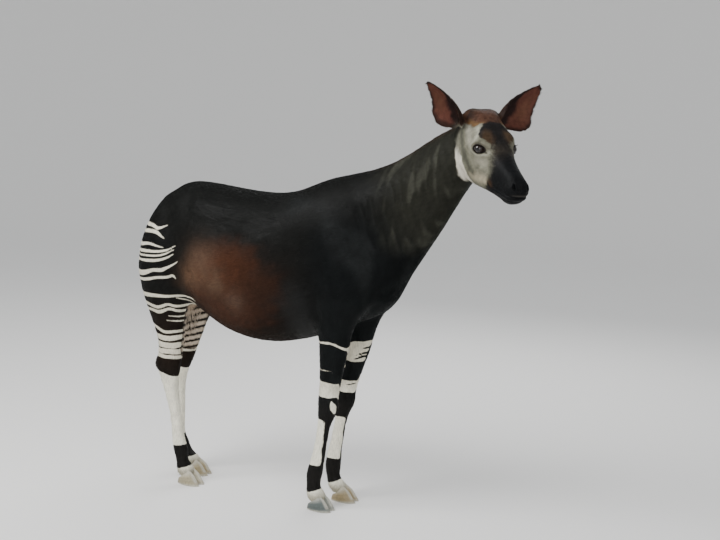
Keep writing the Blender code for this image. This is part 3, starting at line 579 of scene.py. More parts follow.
def stations(table, steps=STEPS):
    """Rows of a table with more between each two, on a cubic curve through all of them."""
    rows = np.asarray(table, float)
    rows = np.vstack([2 * rows[0] - rows[1], rows, 2 * rows[-1] - rows[-2]])
    a, b, c, d = (rows[i : len(rows) - 3 + i, None] for i in range(4))
    t = (np.arange(steps) / steps)[None, :, None]
    slope_b = 0.5 * (c - a)
    slope_c = 0.5 * (d - b)
    curve = b + slope_b * t + (3 * (c - b) - 2 * slope_b - slope_c) * t**2
    curve = curve + (2 * (b - c) + slope_b + slope_c) * t**3
    return np.vstack([curve.reshape(-1, rows.shape[1]), rows[-2:-1]])


def loft(top, bottom, half, side, wide_at, fullness, around=AROUND):
    """Rings of a limb: each runs through its top and bottom outline points as an oval.

    A point at angle a stands at centre + half * cos(a)^(2/f) along side and
    + sin(a)^(2/f) times the way to top or bottom, where f is the fullness.
    """
    share = np.broadcast_to(wide_at, half.shape)[:, None]
    centre = bottom + share * (top - bottom)
    turn = np.arange(around) * 2 * np.pi / around
    across = np.sign(np.cos(turn)) * np.abs(np.cos(turn)) ** (2 / fullness)
    along = np.sign(np.sin(turn)) * np.abs(np.sin(turn)) ** (2 / fullness)
    rise = np.where(along[None, :, None] > 0, (top - centre)[:, None], (centre - bottom)[:, None])
    sides = half[:, None, None] * across[None, :, None] * side[:, None]
    return centre[:, None] + sides + along[None, :, None] * rise


def closed_tube(rings, open_end=False):
    """Points and triangles of rings joined in turn, with a fan to a pole at each closed end."""
    count, around = rings.shape[:2]
    poles = [rings[0].mean(0)] + ([] if open_end else [rings[-1].mean(0)])
    points = np.vstack([rings.reshape(-1, 3), *poles])
    here = np.arange(count * around).reshape(count, around)
    right = np.roll(here, -1, 1)
    corners = [here[:-1], right[:-1], right[1:], here[1:]]
    a, b, c, d = (corner.ravel() for corner in corners)
    first = np.full(around, count * around)
    faces = [
        np.stack([a, b, c], 1),
        np.stack([a, c, d], 1),
        np.stack([first, right[0], here[0]], 1),
    ]
    if not open_end:
        faces.append(np.stack([first + 1, here[-1], right[-1]], 1))
    return points, np.vstack(faces)


def facing_out(points, faces):
    """A closed piece, its faces turned round if they point inwards."""
    volume = np.linalg.det(points[faces] - points.mean(0)).sum()
    return points, faces if volume > 0 else faces[:, ::-1]


def joined(pieces):
    """Points and faces of several pieces as those of one."""
    starts = np.cumsum([0] + [len(points) for points, _ in pieces])
    faces = [corners + start for (_, corners), start in zip(pieces, starts)]
    return np.vstack([points for points, _ in pieces]), np.vstack(faces)


def new_mesh(name, points, faces):
    """A mesh from an array of points and an array of faces with equally many corners."""
    mesh = bpy.data.meshes.new(name)
    mesh.vertices.add(len(points))
    mesh.vertices.foreach_set("co", np.asarray(points, np.float32).ravel())
    count, corners = faces.shape
    mesh.loops.add(count * corners)
    mesh.loops.foreach_set("vertex_index", faces.astype(np.int32).ravel())
    mesh.polygons.add(count)
    mesh.polygons.foreach_set("loop_start", np.arange(0, count * corners, corners, dtype=np.int32))
    mesh.polygons.foreach_set("use_smooth", np.ones(count, bool))
    mesh.update(calc_edges=True)
    mesh.validate()
    return mesh


def new_piece(name, mesh, material, nodes=()):
    """A finished piece that rides on the frame and stands for the named nodes."""
    old = bpy.data.objects.get(name)
    if old:
        bpy.data.objects.remove(old, do_unlink=True)
    piece = bpy.data.objects.new(name, mesh)
    bpy.context.scene.collection.objects.link(piece)
    mesh.materials.clear()
    mesh.materials.append(material)
    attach(piece, "root")
    if nodes:
        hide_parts(*nodes)
    return piece


def applied(mesh, kind, chosen=None, **settings):
    """The mesh after one modifier with these settings, for the chosen points where they are given."""
    item = bpy.data.objects.new("work_piece", mesh)
    bpy.context.scene.collection.objects.link(item)
    modifier = item.modifiers.new("work", kind)
    if chosen is not None:
        group = item.vertex_groups.new(name="chosen")
        group.add(np.nonzero(chosen)[0].tolist(), 1.0, "REPLACE")
        modifier.vertex_group = group.name
    for name, value in settings.items():
        setattr(modifier, name, value)
    bpy.context.view_layer.update()
    graph = bpy.context.evaluated_depsgraph_get()
    made = bpy.data.meshes.new_from_object(item.evaluated_get(graph))
    bpy.data.objects.remove(item, do_unlink=True)
    return made


def read(mesh, layer):
    """The points (co) or normals (normal) of a mesh as rows."""
    flat = np.empty(len(mesh.vertices) * 3)
    mesh.vertices.foreach_get(layer, flat)
    return flat.reshape(-1, 3)


def set_points(mesh, points):
    mesh.vertices.foreach_set("co", points.ravel())
    mesh.update()


def edge_ends(mesh):
    ends = np.empty(len(mesh.edges) * 2, np.int64)
    mesh.edges.foreach_get("vertices", ends)
    return ends.reshape(-1, 2).T


def smooth(mesh, rounds, weight, back=-0.50):
    """Each point moves to the mean of its neighbours, and part of the way back."""
    points = read(mesh, "co")
    a, b = edge_ends(mesh)
    count = np.bincount(np.concatenate([a, b]), minlength=len(points))[:, None]
    for _ in range(rounds):
        for share in (0.55, back):
            total = [
                np.bincount(a, points[b, axis], len(points))
                + np.bincount(b, points[a, axis], len(points))
                for axis in range(3)
            ]
            points = points + share * weight[:, None] * (np.stack(total, 1) / count - points)
    set_points(mesh, points)


def refine(mesh, chosen):
    """Each edge between two chosen points is halved, with the faces between them."""
    a, b = edge_ends(mesh)
    picked = chosen[a] & chosen[b]
    shell = bmesh.new()
    shell.from_mesh(mesh)
    shell.edges.ensure_lookup_table()
    edges = [shell.edges[i] for i in np.nonzero(picked)[0].tolist()]
    bmesh.ops.subdivide_edges(shell, edges=edges, cuts=1, use_grid_fill=True)
    shell.to_mesh(mesh)
    shell.free()
    mesh.update()


def head_turn():
    """Head axes to frame axes: nose down, then turned to the right."""
    pitch = Matrix.Rotation(np.radians(HEAD_PITCH), 3, "Y")
    return np.array(Matrix.Rotation(np.radians(HEAD_TURN), 3, "Z") @ pitch)


def out_of_head(points):
    return np.asarray(points, float) @ head_turn().T + np.array(POLL) + OFFSET


def in_head(points):
    return (np.asarray(points, float) - OFFSET - np.array(POLL)) @ head_turn()


def bend(x):
    """Sideways place of the neck's mid line, which curves to the right from its start."""
    share = np.clip((x - NECK_START) / (POLL[0] - NECK_START), 0.0, 1.3)
    return POLL[1] * share**NECK_CURL


def trunk_rings():
    x, back, belly, half = stations(TRUNK).T
    flat = np.zeros_like(x)
    top, bottom = np.stack([x, flat, back], 1), np.stack([x, flat, belly], 1)
    return loft(top, bottom, half, filled(x, (0.0, 1.0, 0.0)), *TRUNK_RING)


def neck_rings():
    crest_x, crest_z, throat_x, throat_z, half = stations(NECK).T
    top = np.stack([crest_x, bend(crest_x), crest_z], 1)
    bottom = np.stack([throat_x, bend(throat_x), throat_z], 1)
    middle = 0.5 * (crest_x + throat_x)
    lean = (bend(middle + 0.01) - bend(middle - 0.01)) / 0.02
    side = unit(np.stack([-lean, np.ones_like(lean), np.zeros_like(lean)], 1))
    return loft(top, bottom, half, side, *NECK_RING)


def head_rings():
    x, high, low, half, wide_at = stations(HEAD).T
    flat = np.zeros_like(x)
    top = out_of_head(np.stack([x, flat, high], 1)) - OFFSET
    bottom = out_of_head(np.stack([x, flat, low], 1)) - OFFSET
    return loft(top, bottom, half, filled(x, head_turn()[:, 1]), wide_at, HEAD_FULLNESS)


def left_shift(leg, hand, z):
    """How far a leg stands forward of the right one at heights z."""
    table = FORE_LEFT_SHIFT if leg == "fore" else HIND_LEFT_SHIFT
    return np.interp(z, *np.array(table).T) if hand > 0 else 0.0


def leg_line(leg, hand, z):
    """Front x, back x, distance from the middle and half width of a leg at heights z."""
    table = stations(FORE_LEG if leg == "fore" else HIND_LEG)[::-1]
    front, back, out, half = (np.interp(z, table[:, 0], table[:, i]) for i in (1, 2, 3, 4))
    move = left_shift(leg, hand, z)
    return front + move, back + move, hand * out, half


def leg_rings(leg, hand):
    z = stations(FORE_LEG if leg == "fore" else HIND_LEG)[:, 0]
    front, back, out, half = leg_line(leg, hand, z)
    ends = (np.stack([front, out, z], 1), np.stack([back, out, z], 1))
    return loft(*ends, half, filled(z, (0.0, 1.0, 0.0)), *LEG_RING)


def tail_rings():
    x, z, half = stations(TAIL).T
    line = np.stack([x, np.zeros_like(x), z], 1)
    side = filled(x, (0.0, 1.0, 0.0))
    front = np.cross(side, unit(np.gradient(line, axis=0))) * half[:, None]
    return loft(line + front, line - front, half, side, *TAIL_RING, TAIL_AROUND)


def ear_axes(hand):
    """Along, facing and width directions of an ear in the head's axes."""
    rise, back = np.radians(EAR_RISE), np.radians(EAR_BACK)
    outwards, upwards = np.cos(rise) * np.cos(back), np.sin(rise) * np.cos(back)
    along = np.array((-np.sin(back), hand * outwards, upwards))
    facing = on_side(EAR_FACING[hand], hand)
    facing = unit(facing - along * (facing @ along))
    return along, facing, np.cross(along, facing)


def ear_rings(hand, thickness):
    """A leaf rolled to a cup: at share t of its length the leaf is as wide as its edges say,
    rolled through an angle that opens from root to tip; its rim is thinner than its middle."""
    t = np.linspace(0.0, 1.0, EAR_ROWS)[:, None]
    across = np.sin(np.linspace(-0.5 * np.pi, 0.5 * np.pi, EAR_COLUMNS))[None, :]
    share, *edges = np.array(EAR_EDGES[hand]).T
    fine = np.linspace(0, 1, 61)
    soft = [np.convolve(np.interp(fine, share, edge), np.ones(5) / 5, "same") for edge in edges]
    outer, inner = (np.interp(t, fine[2:-2], edge[2:-2]) for edge in soft)
    waves = EAR_WAVES[hand] * np.sin(t * 43 + 2) * np.sin(t * 19)
    outer = outer * (1 + waves * ramp(0.15, 0.3, t))
    half = np.where(across * hand > 0, outer, inner)
    root_curl, lost_by_middle, lost_by_tip = EAR_CURL
    curl = np.radians(root_curl - lost_by_middle * ramp(0.0, 0.50, t) - lost_by_tip * t)
    radius = half / np.sin(np.minimum(curl, 0.5 * np.pi))
    wide = radius * np.sin(across * curl)
    deep = radius * (1 - np.cos(across * curl)) - EAR_DEPTH * (1 - (2 * t - 1) ** 2)
    deep = deep + 0.0012 * np.sin(across * 16) * ramp(0.05, 0.3, t) * ramp(1.0, 0.7, t)
    edge = ramp(0.75, 1.0, np.abs(across)) * ramp(0.15, 0.4, t)
    deep = deep + 0.0022 * edge * np.sin(t * 41 + hand)
    along, facing, width = ear_axes(hand)
    line = on_side(EAR_ROOT, hand) + (t * EAR_LENGTH)[..., None] * along
    grid = line + wide[..., None] * width + deep[..., None] * facing
    normal = unit(np.cross(np.gradient(grid, axis=1), np.gradient(grid, axis=0)))
    normal = normal * np.sign((normal * facing).sum(-1).mean())
    wall = 0.5 * thickness * (1 - 0.75 * np.abs(across) ** 4) * (1 - 0.55 * t)
    inside = grid + normal * wall[..., None]
    outside = grid - normal * wall[..., None]
    return out_of_head(np.concatenate([inside, outside[:, ::-1]], 1))


def body_mesh(cell):
    """The lofts joined on an even grid of faces of this size, smoothed and swollen."""
    tubes = [trunk_rings(), neck_rings(), head_rings(), tail_rings()]
    tubes += [leg_rings(leg, hand) for leg in ("fore", "hind") for hand in (1, -1)]
    points, faces = joined([closed_tube(rings) for rings in tubes])
    mesh = new_mesh("okapi_skin", points + OFFSET, faces)
    mesh = applied(mesh, "REMESH", mode="VOXEL", voxel_size=cell)
    points = read(mesh, "co")
    of_head = ramp(*HEAD_FADE, in_head(points)[:, 0]) * (points[:, 2] > HEAD_LOWEST)
    of_leg = 1 - ramp(*LEG_FADE, points[:, 2])
    of_tail = ramp(*TAIL_FADE, points[:, 0] - OFFSET[0]) * (points[:, 2] < HEAD_LOWEST)
    smooth(mesh, SMOOTH_ALL, np.ones(len(points)))
    smooth(mesh, SMOOTH_TRUNK, (1 - of_head) * (1 - of_leg) * (1 - of_tail))
    x, y, z = (read(mesh, "co") - OFFSET).T
    plain = (x > -0.66) & (x < 0.10) & (z > 0.86)
    plain |= (np.abs(y) < 0.07) & (z > 0.70) & (x > -0.9) & (x < 0.2)
    mesh = applied(mesh, "DECIMATE", plain, ratio=PLAIN_FACES, vertex_group_factor=1000.0)
    places = read(mesh, "co") - OFFSET
    smooth(mesh, SMOOTH_LAST, (places[:, 2] > 0.80) * (1 - near_head(places + OFFSET)[1]))
    for table, place in ((BODY_SWELLINGS, lambda p: p + OFFSET), (HEAD_SWELLINGS, out_of_head)):
        points, normals = read(mesh, "co"), read(mesh, "normal")
        for x, out, z, radius, height in table:
            for hand in (1, -1) if out else (1,):
                away = ((points - place((x, hand * out, z))) ** 2).sum(1)
                points = points + normals * (height * np.exp(-away / radius**2))[:, None]
        set_points(mesh, points)
    return mesh


def to_line(places, line):
    """Distance from each place to a smooth line, the share of its length there and its half width."""
    line = stations(line, 5)
    best = np.full(len(places), 9.0)
    share = np.zeros(len(places))
    width = np.zeros(len(places))
    for i, (a, b) in enumerate(zip(line, line[1:])):
        way = b[:2] - a[:2]
        t = np.clip(((places - a[:2]) @ way) / (way @ way), 0, 1)
        away = np.hypot(*(places - a[:2] - t[:, None] * way).T)
        nearer = away < best
        best[nearer] = away[nearer]
        share[nearer] = ((i + t) / (len(line) - 1))[nearer]
        if line.shape[1] > 2:
            width[nearer] = (a[2] + t * (b[2] - a[2]))[nearer]
    return best, share, width


def eye_axes(hand):
    """Outward, forward and upward directions of an eye in the head's axes."""
    outwards = unit(on_side(EYE_LOOK, hand))
    forward = unit(np.array(EYE_SLIT) - outwards * (np.array(EYE_SLIT) @ outwards))
    upward = np.cross(outwards, forward)
    return outwards, forward, upward * np.sign(upward[2])


def in_eye(head, hand):
    """Places along the eye's slit, up across it and outwards from the ball's centre."""
    outwards, forward, upward = eye_axes(hand)
    away = head - on_side(EYE_CENTRE, hand)
    return away @ forward, away @ upward, away @ outwards


def eye_rim(along, up):
    """0 on the rim of the lids, in metres outside it and below 0 inside: an almond."""
    reach = np.where(along > 0, EYE_LENGTH[0], EYE_LENGTH[1])
    height = np.where(up > 0, EYE_HEIGHT[0], EYE_HEIGHT[1])
    almond = (np.abs(along) / reach) ** 1.7 + (np.abs(up) / height) ** 2
    return (np.sqrt(almond) - 1) * 0.5 * (reach + height)


def near_head(points):
    """Places in the head's axes, and how far each is of the head, 0 to 1."""
    head = in_head(points)
    mask = ramp(-0.02, 0.05, head[:, 0]) * ramp(-0.27, -0.19, head[:, 2])
    return head, mask


def near_eye(head, hand, reach=0.05):
    """Metres outside the rim of an eye's lids, and which places are within reach of the eye."""
    along, up, _ = in_eye(head, hand)
    return eye_rim(along, up), (head[:, 1] * hand > 0.02) & (np.hypot(along, up) < reach)


def along_neck(places):
    """How far up the neck a place lies."""
    lean, start = NECK_LEAN
    return places[:, 0] + lean * (places[:, 2] - start)


def neck_and_legs(places):
    """How far each place is of the neck, and of a leg, 0 to 1."""
    x, _, z = places.T
    of_neck = ramp(0.05, 0.30, along_neck(places)) * ramp(1.0, 1.2, z)
    return of_neck, ramp(1.02, 0.86, z) * ((x > -0.14) | (x < -0.66))


def shape_eyes(mesh):
    """Lids that lie on the ball, with a fold above and below, round a deep opening."""
    points = read(mesh, "co")
    head = in_head(points)
    for hand in (1, -1):
        along, up, out = in_eye(head, hand)
        near = (np.hypot(along, up) < 0.055) & (out > -0.012) & (head[:, 1] * hand > 0)
        rim = eye_rim(along, up)
        away = np.hypot(along, up)
        ball = EYE_RADIUS + LID_THICKNESS
        lid = np.sqrt(np.maximum(ball**2 - away**2, (0.42 * ball) ** 2))
        lid = lid + 0.0007 * bump(rim - 0.0016, 0.0016)
        hold = 1 - ramp(0.001, 0.021, rim)
        target = out + hold * (lid - out)
        target = target - 0.0013 * bump(rim - np.where(up > 0, 0.0075, 0.0060), 0.0017)
        target = target + 0.0009 * bump(rim - np.where(up > 0, 0.0115, 0.0095), 0.0026)
        duct = bump(along - 0.031, 0.010) * bump(up + 0.0075 + 0.2 * (along - 0.03), 0.0024)
        target = target - 0.0022 * duct
        inside = np.sqrt(np.maximum((EYE_RADIUS - 0.0035) ** 2 - away**2, 0.0))
        inside = np.maximum(inside, lid - 0.0062)
        target = target + ramp(0.0, -0.0022, rim) * (inside - target)
        move = np.where(near, target - out, 0.0)
        head = head + move[:, None] * eye_axes(hand)[0]
    set_points(mesh, out_of_head(head))


def mouth_height(head):
    """Distance above the line between the lips."""
    return head[:, 2] - (LIP_TIP[1] + LIP_SLOPE * (head[:, 0] - LIP_TIP[0]))


def shape_muzzle(mesh):
    """Groove between the lips with fuller lips beside it, and a nostril on each side."""
    points, normals = read(mesh, "co"), read(mesh, "normal")
    head, of_head = near_head(points)
    turned = normals @ head_turn()
    height = mouth_height(head)
    there = ramp(0.285, 0.325, head[:, 0]) * of_head
    lips = -0.0038 * bump(height, 0.0028) + 0.0016 * bump(height - 0.010, 0.007)
    lips = lips + 0.0022 * bump(height + 0.010, 0.007)
    chin = -0.0018 * bump(height + 0.024, 0.006) * ramp(0.36, 0.40, head[:, 0])
    head = head + turned * ((lips + chin) * there)[:, None]
    for hand in (1, -1):
        outwards = unit(on_side(NOSTRIL_FACING, hand))
        forward = unit(np.cross((0.0, 0.0, 1.0), outwards) * hand)
        slant = unit(np.array((0.0, 0.0, 1.0)) + 0.75 * forward)
        across = np.cross(outwards, slant)
        away = head - on_side(NOSTRIL, hand)
        long, wide = away @ slant, away @ across
        curved = wide - 14.0 * long**2 * hand
        oval = np.hypot(long / 0.0135, curved / 0.0062)
        near = (head[:, 0] > 0.38) & (head[:, 1] * hand > 0.004) & (away @ outwards > -0.02)
        hole = -0.0115 * ramp(1.05, 0.45, oval) + 0.0019 * bump(oval - 1.45, 0.40)
        head = head + (hole * near * of_head)[:, None] * outwards
    seam = -0.0016 * bump(head[:, 1], 0.0022) * ramp(0.415, 0.44, head[:, 0])
    seam = seam * (height > 0.003) * of_head
    set_points(mesh, out_of_head(head + turned * seam[:, None]))


def shape_folds(mesh, fold_depth):
    """Creases of the skin, narrow and irregular, where the neck turns and the limbs join."""
    points, normals = read(mesh, "co"), read(mesh, "normal")
    places = points - OFFSET
    head, of_head = near_head(points)
    sideways = ramp(0.15, 0.55, np.abs(normals[:, 1]))
    wander = 0.006 * ripple(places, 0.16, 3) + 0.014 * np.where(places[:, 1] > 0, 1, 0)
    flat = places[:, [0, 2]] + np.stack([wander, 0.5 * wander], 1)
    move = np.zeros(len(points))
    for line, depth, width in CREASES:
        away, share, _ = to_line(flat, line)
        ends = ramp(0.0, 0.22, share) * ramp(1.0, 0.75, share)
        wave = -bump(away, width) + 0.55 * bump(away - 1.9 * width, 1.1 * width)
        move += depth * ends * wave
    slant = along_neck(places)
    of_neck = ramp(0.12, 0.28, slant) * ramp(-0.02, -0.07, head[:, 0])
    of_neck = of_neck * (places[:, 2] > 1.15)
    phase = slant / 0.052 + 0.9 * ripple(places, 0.30, 5)
    folds = 0.45 - np.abs(np.cos(np.pi * phase)) ** 5
    patches = ramp(-0.05, 0.45, ripple(places * (1.6, 1, 0.7), 0.20, 8))
    move += fold_depth * folds * of_neck * patches
    move = move * sideways * (1 - of_head)
    veins = ripple(places, 0.034, 21) * ramp(1.12, 1.02, places[:, 2]) * 0.0006
    bones = ripple(places * (1.2, 1, 0.7), 0.14, 22) * 0.0006
    move += (veins + bones) * (1 - of_head)
    move += of_head * 0.0005 * ripple(head, 0.022, 23)
    set_points(mesh, points + normals * move[:, None])


def ear_place(points, hand):
    """Share of an ear's length, place across it as a share of its edges, and height over its leaf."""
    along, facing, width = ear_axes(hand)
    away = in_head(points) - on_side(EAR_ROOT, hand)
    t = (away @ along) / EAR_LENGTH
    share, outer, inner = np.array(EAR_EDGES[hand]).T
    across = (away @ width) * hand
    reach = np.where(across > 0, np.interp(t, share, outer), np.interp(t, share, inner))
    return t, across / np.maximum(reach, 0.004), away @ facing


def near_ear(points, hand):
    """Share of an ear's length, place across it, and which points are near enough to be of it."""
    t, across, height = ear_place(points, hand)
    near = (in_head(points)[:, 1] * hand > 0.05) & (np.abs(across) < 1.9) & (np.abs(height) < 0.12)
    return t, across, near


def coat_depth(points):
    """How far the skin lies inside the solids: deep on the body, slight on the legs and face."""
    places = points - OFFSET
    _, of_head = near_head(points)
    of_leg = 1 - ramp(0.60, 0.85, places[:, 2])
    depth = 0.0040 - 0.0022 * of_leg - 0.0025 * of_head * (1 - of_leg)
    of_foot = 1 - ramp(0.08, 0.16, places[:, 2])
    return depth - 0.0006 * of_foot


def body_skin(settings):
    """The whole skin: finer where markings and features need it, moved in, folded, with its ears."""
    mesh = body_mesh(settings.cell)
    points = read(mesh, "co")
    places = points - OFFSET
    x, y, z = places.T
    _, of_head = near_head(points)
    outside = np.abs(y) > 0.5 * np.interp(z, (0.8, 1.2), (0.10, 0.16))
    fine = (x < -0.68) & (z < 1.26) & (z > 0.60) & outside
    fine |= (z < 0.62) | ((z < 0.80) & (x > -0.3))
    fine |= (along_neck(places) > 0.06) & (z > 1.12) & (np.abs(read(mesh, "normal")[:, 1]) > 0.45)
    refine(mesh, fine | (of_head > 0.05))
    for middle, radius in (
        ((0.41, 0.0, -0.04), 0.070),
        (EYE_CENTRE, 0.052),
        (EYE_CENTRE, 0.036),
        (NOSTRIL, 0.024),
    ):
        head = in_head(read(mesh, "co"))
        head[:, 1] = np.abs(head[:, 1])
        refine(mesh, ((head - np.array(middle)) ** 2).sum(1) < radius**2)
    smooth(mesh, 3, np.ones(len(mesh.vertices)))
    points, normals = read(mesh, "co"), read(mesh, "normal")
    set_points(mesh, points - normals * coat_depth(points)[:, None])
    shape_folds(mesh, settings.fold_depth)
    shape_eyes(mesh)
    shape_muzzle(mesh)
    head = in_head(read(mesh, "co"))
    smooth(mesh, 1, (head[:, 0] > 0.1) * 1.0)
    return with_ears(mesh)


def with_ears(mesh):
    """The ears joined to the head, with a soft hollow where they meet."""
    pair = joined([facing_out(*closed_tube(ear_rings(hand, EAR_WALL))) for hand in (1, -1)])
    ears = bpy.data.objects.new("ears", new_mesh("ears", *pair))
    bpy.context.scene.collection.objects.link(ears)
    mesh = applied(mesh, "BOOLEAN", object=ears, operation="UNION", solver="MANIFOLD")
    bpy.data.objects.remove(ears, do_unlink=True)
    head = in_head(read(mesh, "co"))
    joint = np.zeros(len(head))
    for hand in (1, -1):
        along, _, _ = ear_axes(hand)
        away = np.linalg.norm(head - on_side(EAR_ROOT, hand) - along * 0.012, axis=1)
        joint = np.maximum(joint, ramp(0.062, 0.030, away))
    smooth(mesh, 10, joint, -0.12)
    return mesh


def in_stripes(flat, lines, thin=1.0):
    """Metres inside (+) or outside (-) the nearest of these stripes."""
    white = np.full(len(flat), -MARKING_REACH)
    for line in lines:
        away, _, half = to_line(flat, line)
        white = np.maximum(white, half * thin - away)
    return white


def white_of_hind(places, hand):
    """Metres inside (+) or outside (-) the white of a hind leg and haunch."""
    x = places[:, 0] - left_shift("hind", hand, places[:, 2])
    wander = 0.0022 * ripple(places, 0.10, 32)
    flat = np.stack([x + 0.003 * ripple(places, 0.09, 31), places[:, 2] + wander], 1)
    white = in_stripes(flat, HAUNCH_STRIPES, np.interp(flat[:, 1], (0.72, 0.80), (1.0, 0.82)))
    z = places[:, 2] + 0.002 * ripple(places, 0.02, 33)
    top = 0.528 - 0.20 * (x + 0.885)
    cannon = both(top - z, z - 0.180 - 0.15 * (x + 0.79))
    coronet = np.minimum(0.078 + 0.30 * (x + 0.750) - z, 0.05)
    return np.maximum(np.maximum(white, cannon), coronet)


def white_of_fore(places, hand):
    """The same for a fore leg, whose inner and outer sides differ."""
    x = places[:, 0] - left_shift("fore", hand, places[:, 2])
    front, back, middle, _ = leg_line("fore", hand, places[:, 2])
    flat = np.stack([x, places[:, 2] + 0.003 * ripple(places, 0.05, 41)], 1)
    on_outer, on_inner = in_stripes(flat, FORE_STRIPES), in_stripes(flat, FORE_INNER_STRIPES)
    for line in FORE_INNER_BARS:
        away, _, half = to_line(flat, line)
        on_inner = np.minimum(on_inner, away - half)
    outer = hand * (places[:, 1] - middle)
    share = ramp(-0.013, 0.013, outer)
    white = on_inner + share * (on_outer - on_inner)
    z = places[:, 2] + 0.002 * ripple(places, 0.02, 43)
    top = 0.395 + 0.026 * share
    cannon = both(top - z, z - 0.195 - 0.010 * share)
    ahead = (places[:, 0] - 0.5 * (front + back)) / (0.5 * (front - back))
    breadth = np.interp(z, (0.20, 0.34, 0.42), (0.010, 0.013, 0.021))
    strip = breadth + 0.002 * ripple(places, 0.05, 44) - np.abs(outer - 0.006)
    cannon = np.where(ahead > -0.1, both(cannon, -strip, 0.010), cannon)
    coronet = np.minimum(0.086 + 0.32 * (x + 0.050) - z, 0.05)
    return np.maximum(np.maximum(white, cannon), coronet)


def cheek_colours(head, flat, grain):
    """Pale cheek with lighter and darker strokes."""
    face = filled(head, TINT["cheek"])
    face = face * (1 + 0.16 * grain + 0.10 * ripple(head, 0.008, 54))[:, None]
    for line, width, colour, share in CHEEK_STROKES:
        face = mixed(face, colour, share * bump(to_line(flat, line)[0], width))
    return face * 0.80


def front_colours(head, flat, grain, side):
    """Colours of the dark front of the face with brows and muzzle, and how far places are of it."""
    x, z = flat.T
    fade = np.interp(z, *FRONT_FADE)
    speckle = 0.45 * fade * ripple(head, 0.0065, 55)
    dark = ramp(-fade, 0.6 * fade, x - np.interp(z, *FRONT_EDGE) + 0.004 * grain + speckle)
    dark = np.maximum(dark, ramp(0.103, 0.110, x) * (1 - side))
    front = filled(head, TINT["front"])
    front = mixed(front, TINT["bridge"], bump(x - 0.235, 0.03) * bump(z - 0.035, 0.03))
    brow = np.hypot((x - 0.178) / 0.034, (np.abs(head[:, 1]) - 0.050) / 0.027)
    front = mixed(front, TINT["brow"], ramp(1.45, 0.30, brow + 0.25 * grain))
    front = mixed(front, TINT["muzzle"], ramp(0.260, 0.320, x))
    return front * (1 + 0.22 * grain)[:, None], dark


def crown_colours(flat, grain, side):
    """Colours of the crown, and how far each place is of it."""
    x, z = flat.T
    crown = ramp(-0.006, 0.006, z - np.interp(x, *CROWN_EDGE)) * ramp(0.112, 0.102, x)
    top = mixed(filled(flat, TINT["crown"]), TINT["crown_dark"], 0.7 * ramp(-0.2, 0.6, grain))
    tan = to_line(flat, CROWN_TAN_LINE)[0]
    return mixed(top, TINT["crown_tan"], 0.9 * bump(tan, 0.011) * side), crown


def eye_colours(head, face):
    """Black lids, the duct and corners of the eyes, and a ring paler below with painted shade above."""
    for hand in (1, -1):
        along, up, _ = in_eye(head, hand)
        rim, near = near_eye(head, hand, 0.06)
        below = ramp(0.010, -0.004, up)
        face = mixed(face, TINT["eye_ring"], 0.75 * bump(rim - 0.013, 0.005) * near * below)
        # Painted shade on the ring above the eye, under the brow
        face = mixed(face, TINT["eye_shade_above"], 0.75 * bump(rim - 0.009, 0.006) * near * (1 - below))
        duct = bump(along - 0.036, 0.009) * bump(up + 0.0085, 0.0035)
        face = mixed(face, TINT["eye_rim"], near * np.maximum(ramp(0.0070, 0.0032, rim), duct))
        corner = ramp(-0.001, -0.003, rim) * ramp(0.017, 0.022, np.abs(along))
        face = mixed(face, TINT["eye_corner"], 0.8 * near * corner)
    return face


def head_colours(points, colours):
    """Face: red-brown crown, dark front, pale cheek, black muzzle, white at the angle of the jaw."""
    head, of_head = near_head(points)
    uneven = 0.0035 * ripple(head, 0.030, 51)
    x, z = head[:, 0] + uneven, head[:, 2] + 0.0035 * ripple(head, 0.024, 52)
    flat = np.stack([x, z], 1)
    side = ramp(0.018, 0.046, np.abs(head[:, 1]))
    grain = ripple(head, 0.020, 53)
    face = cheek_colours(head, flat, grain)
    ear_foot = np.hypot(x + 0.014, z - 0.030)
    face = mixed(face, TINT["ear_foot"], side * ramp(0.048, 0.024, ear_foot))
    face = mixed(face, *front_colours(head, flat, grain, side))
    face = mixed(face, *crown_colours(flat, grain, side))
    face = eye_colours(head, face)
    corner = bump(x - 0.292, 0.016) * bump(z + 0.070, 0.012) * side
    face = mixed(face, TINT["mouth_corner"], 0.6 * corner)
    lip = bump(head[:, 0] - 0.449, 0.010) * bump(mouth_height(head) - 0.007, 0.0036)
    face = mixed(face, TINT["lip"], 0.40 * lip)
    of_face = of_head * ramp(-0.004, 0.004, x - np.interp(z, *FACE_REAR))
    patch = ramp(-0.003, 0.007, np.interp(z, *JAW_WHITE_EDGE) - x)
    face = mixed(face, TINT["jaw_white"], patch * ramp(-0.035, -0.080, z) * side)
    under = ramp(0.040, 0.015, np.abs(head[:, 1])) * ramp(0.16, 0.10, x) * (z < -0.1)
    face = mixed(face, TINT["throat"], 0.8 * under)
    return mixed(colours, face, of_face)


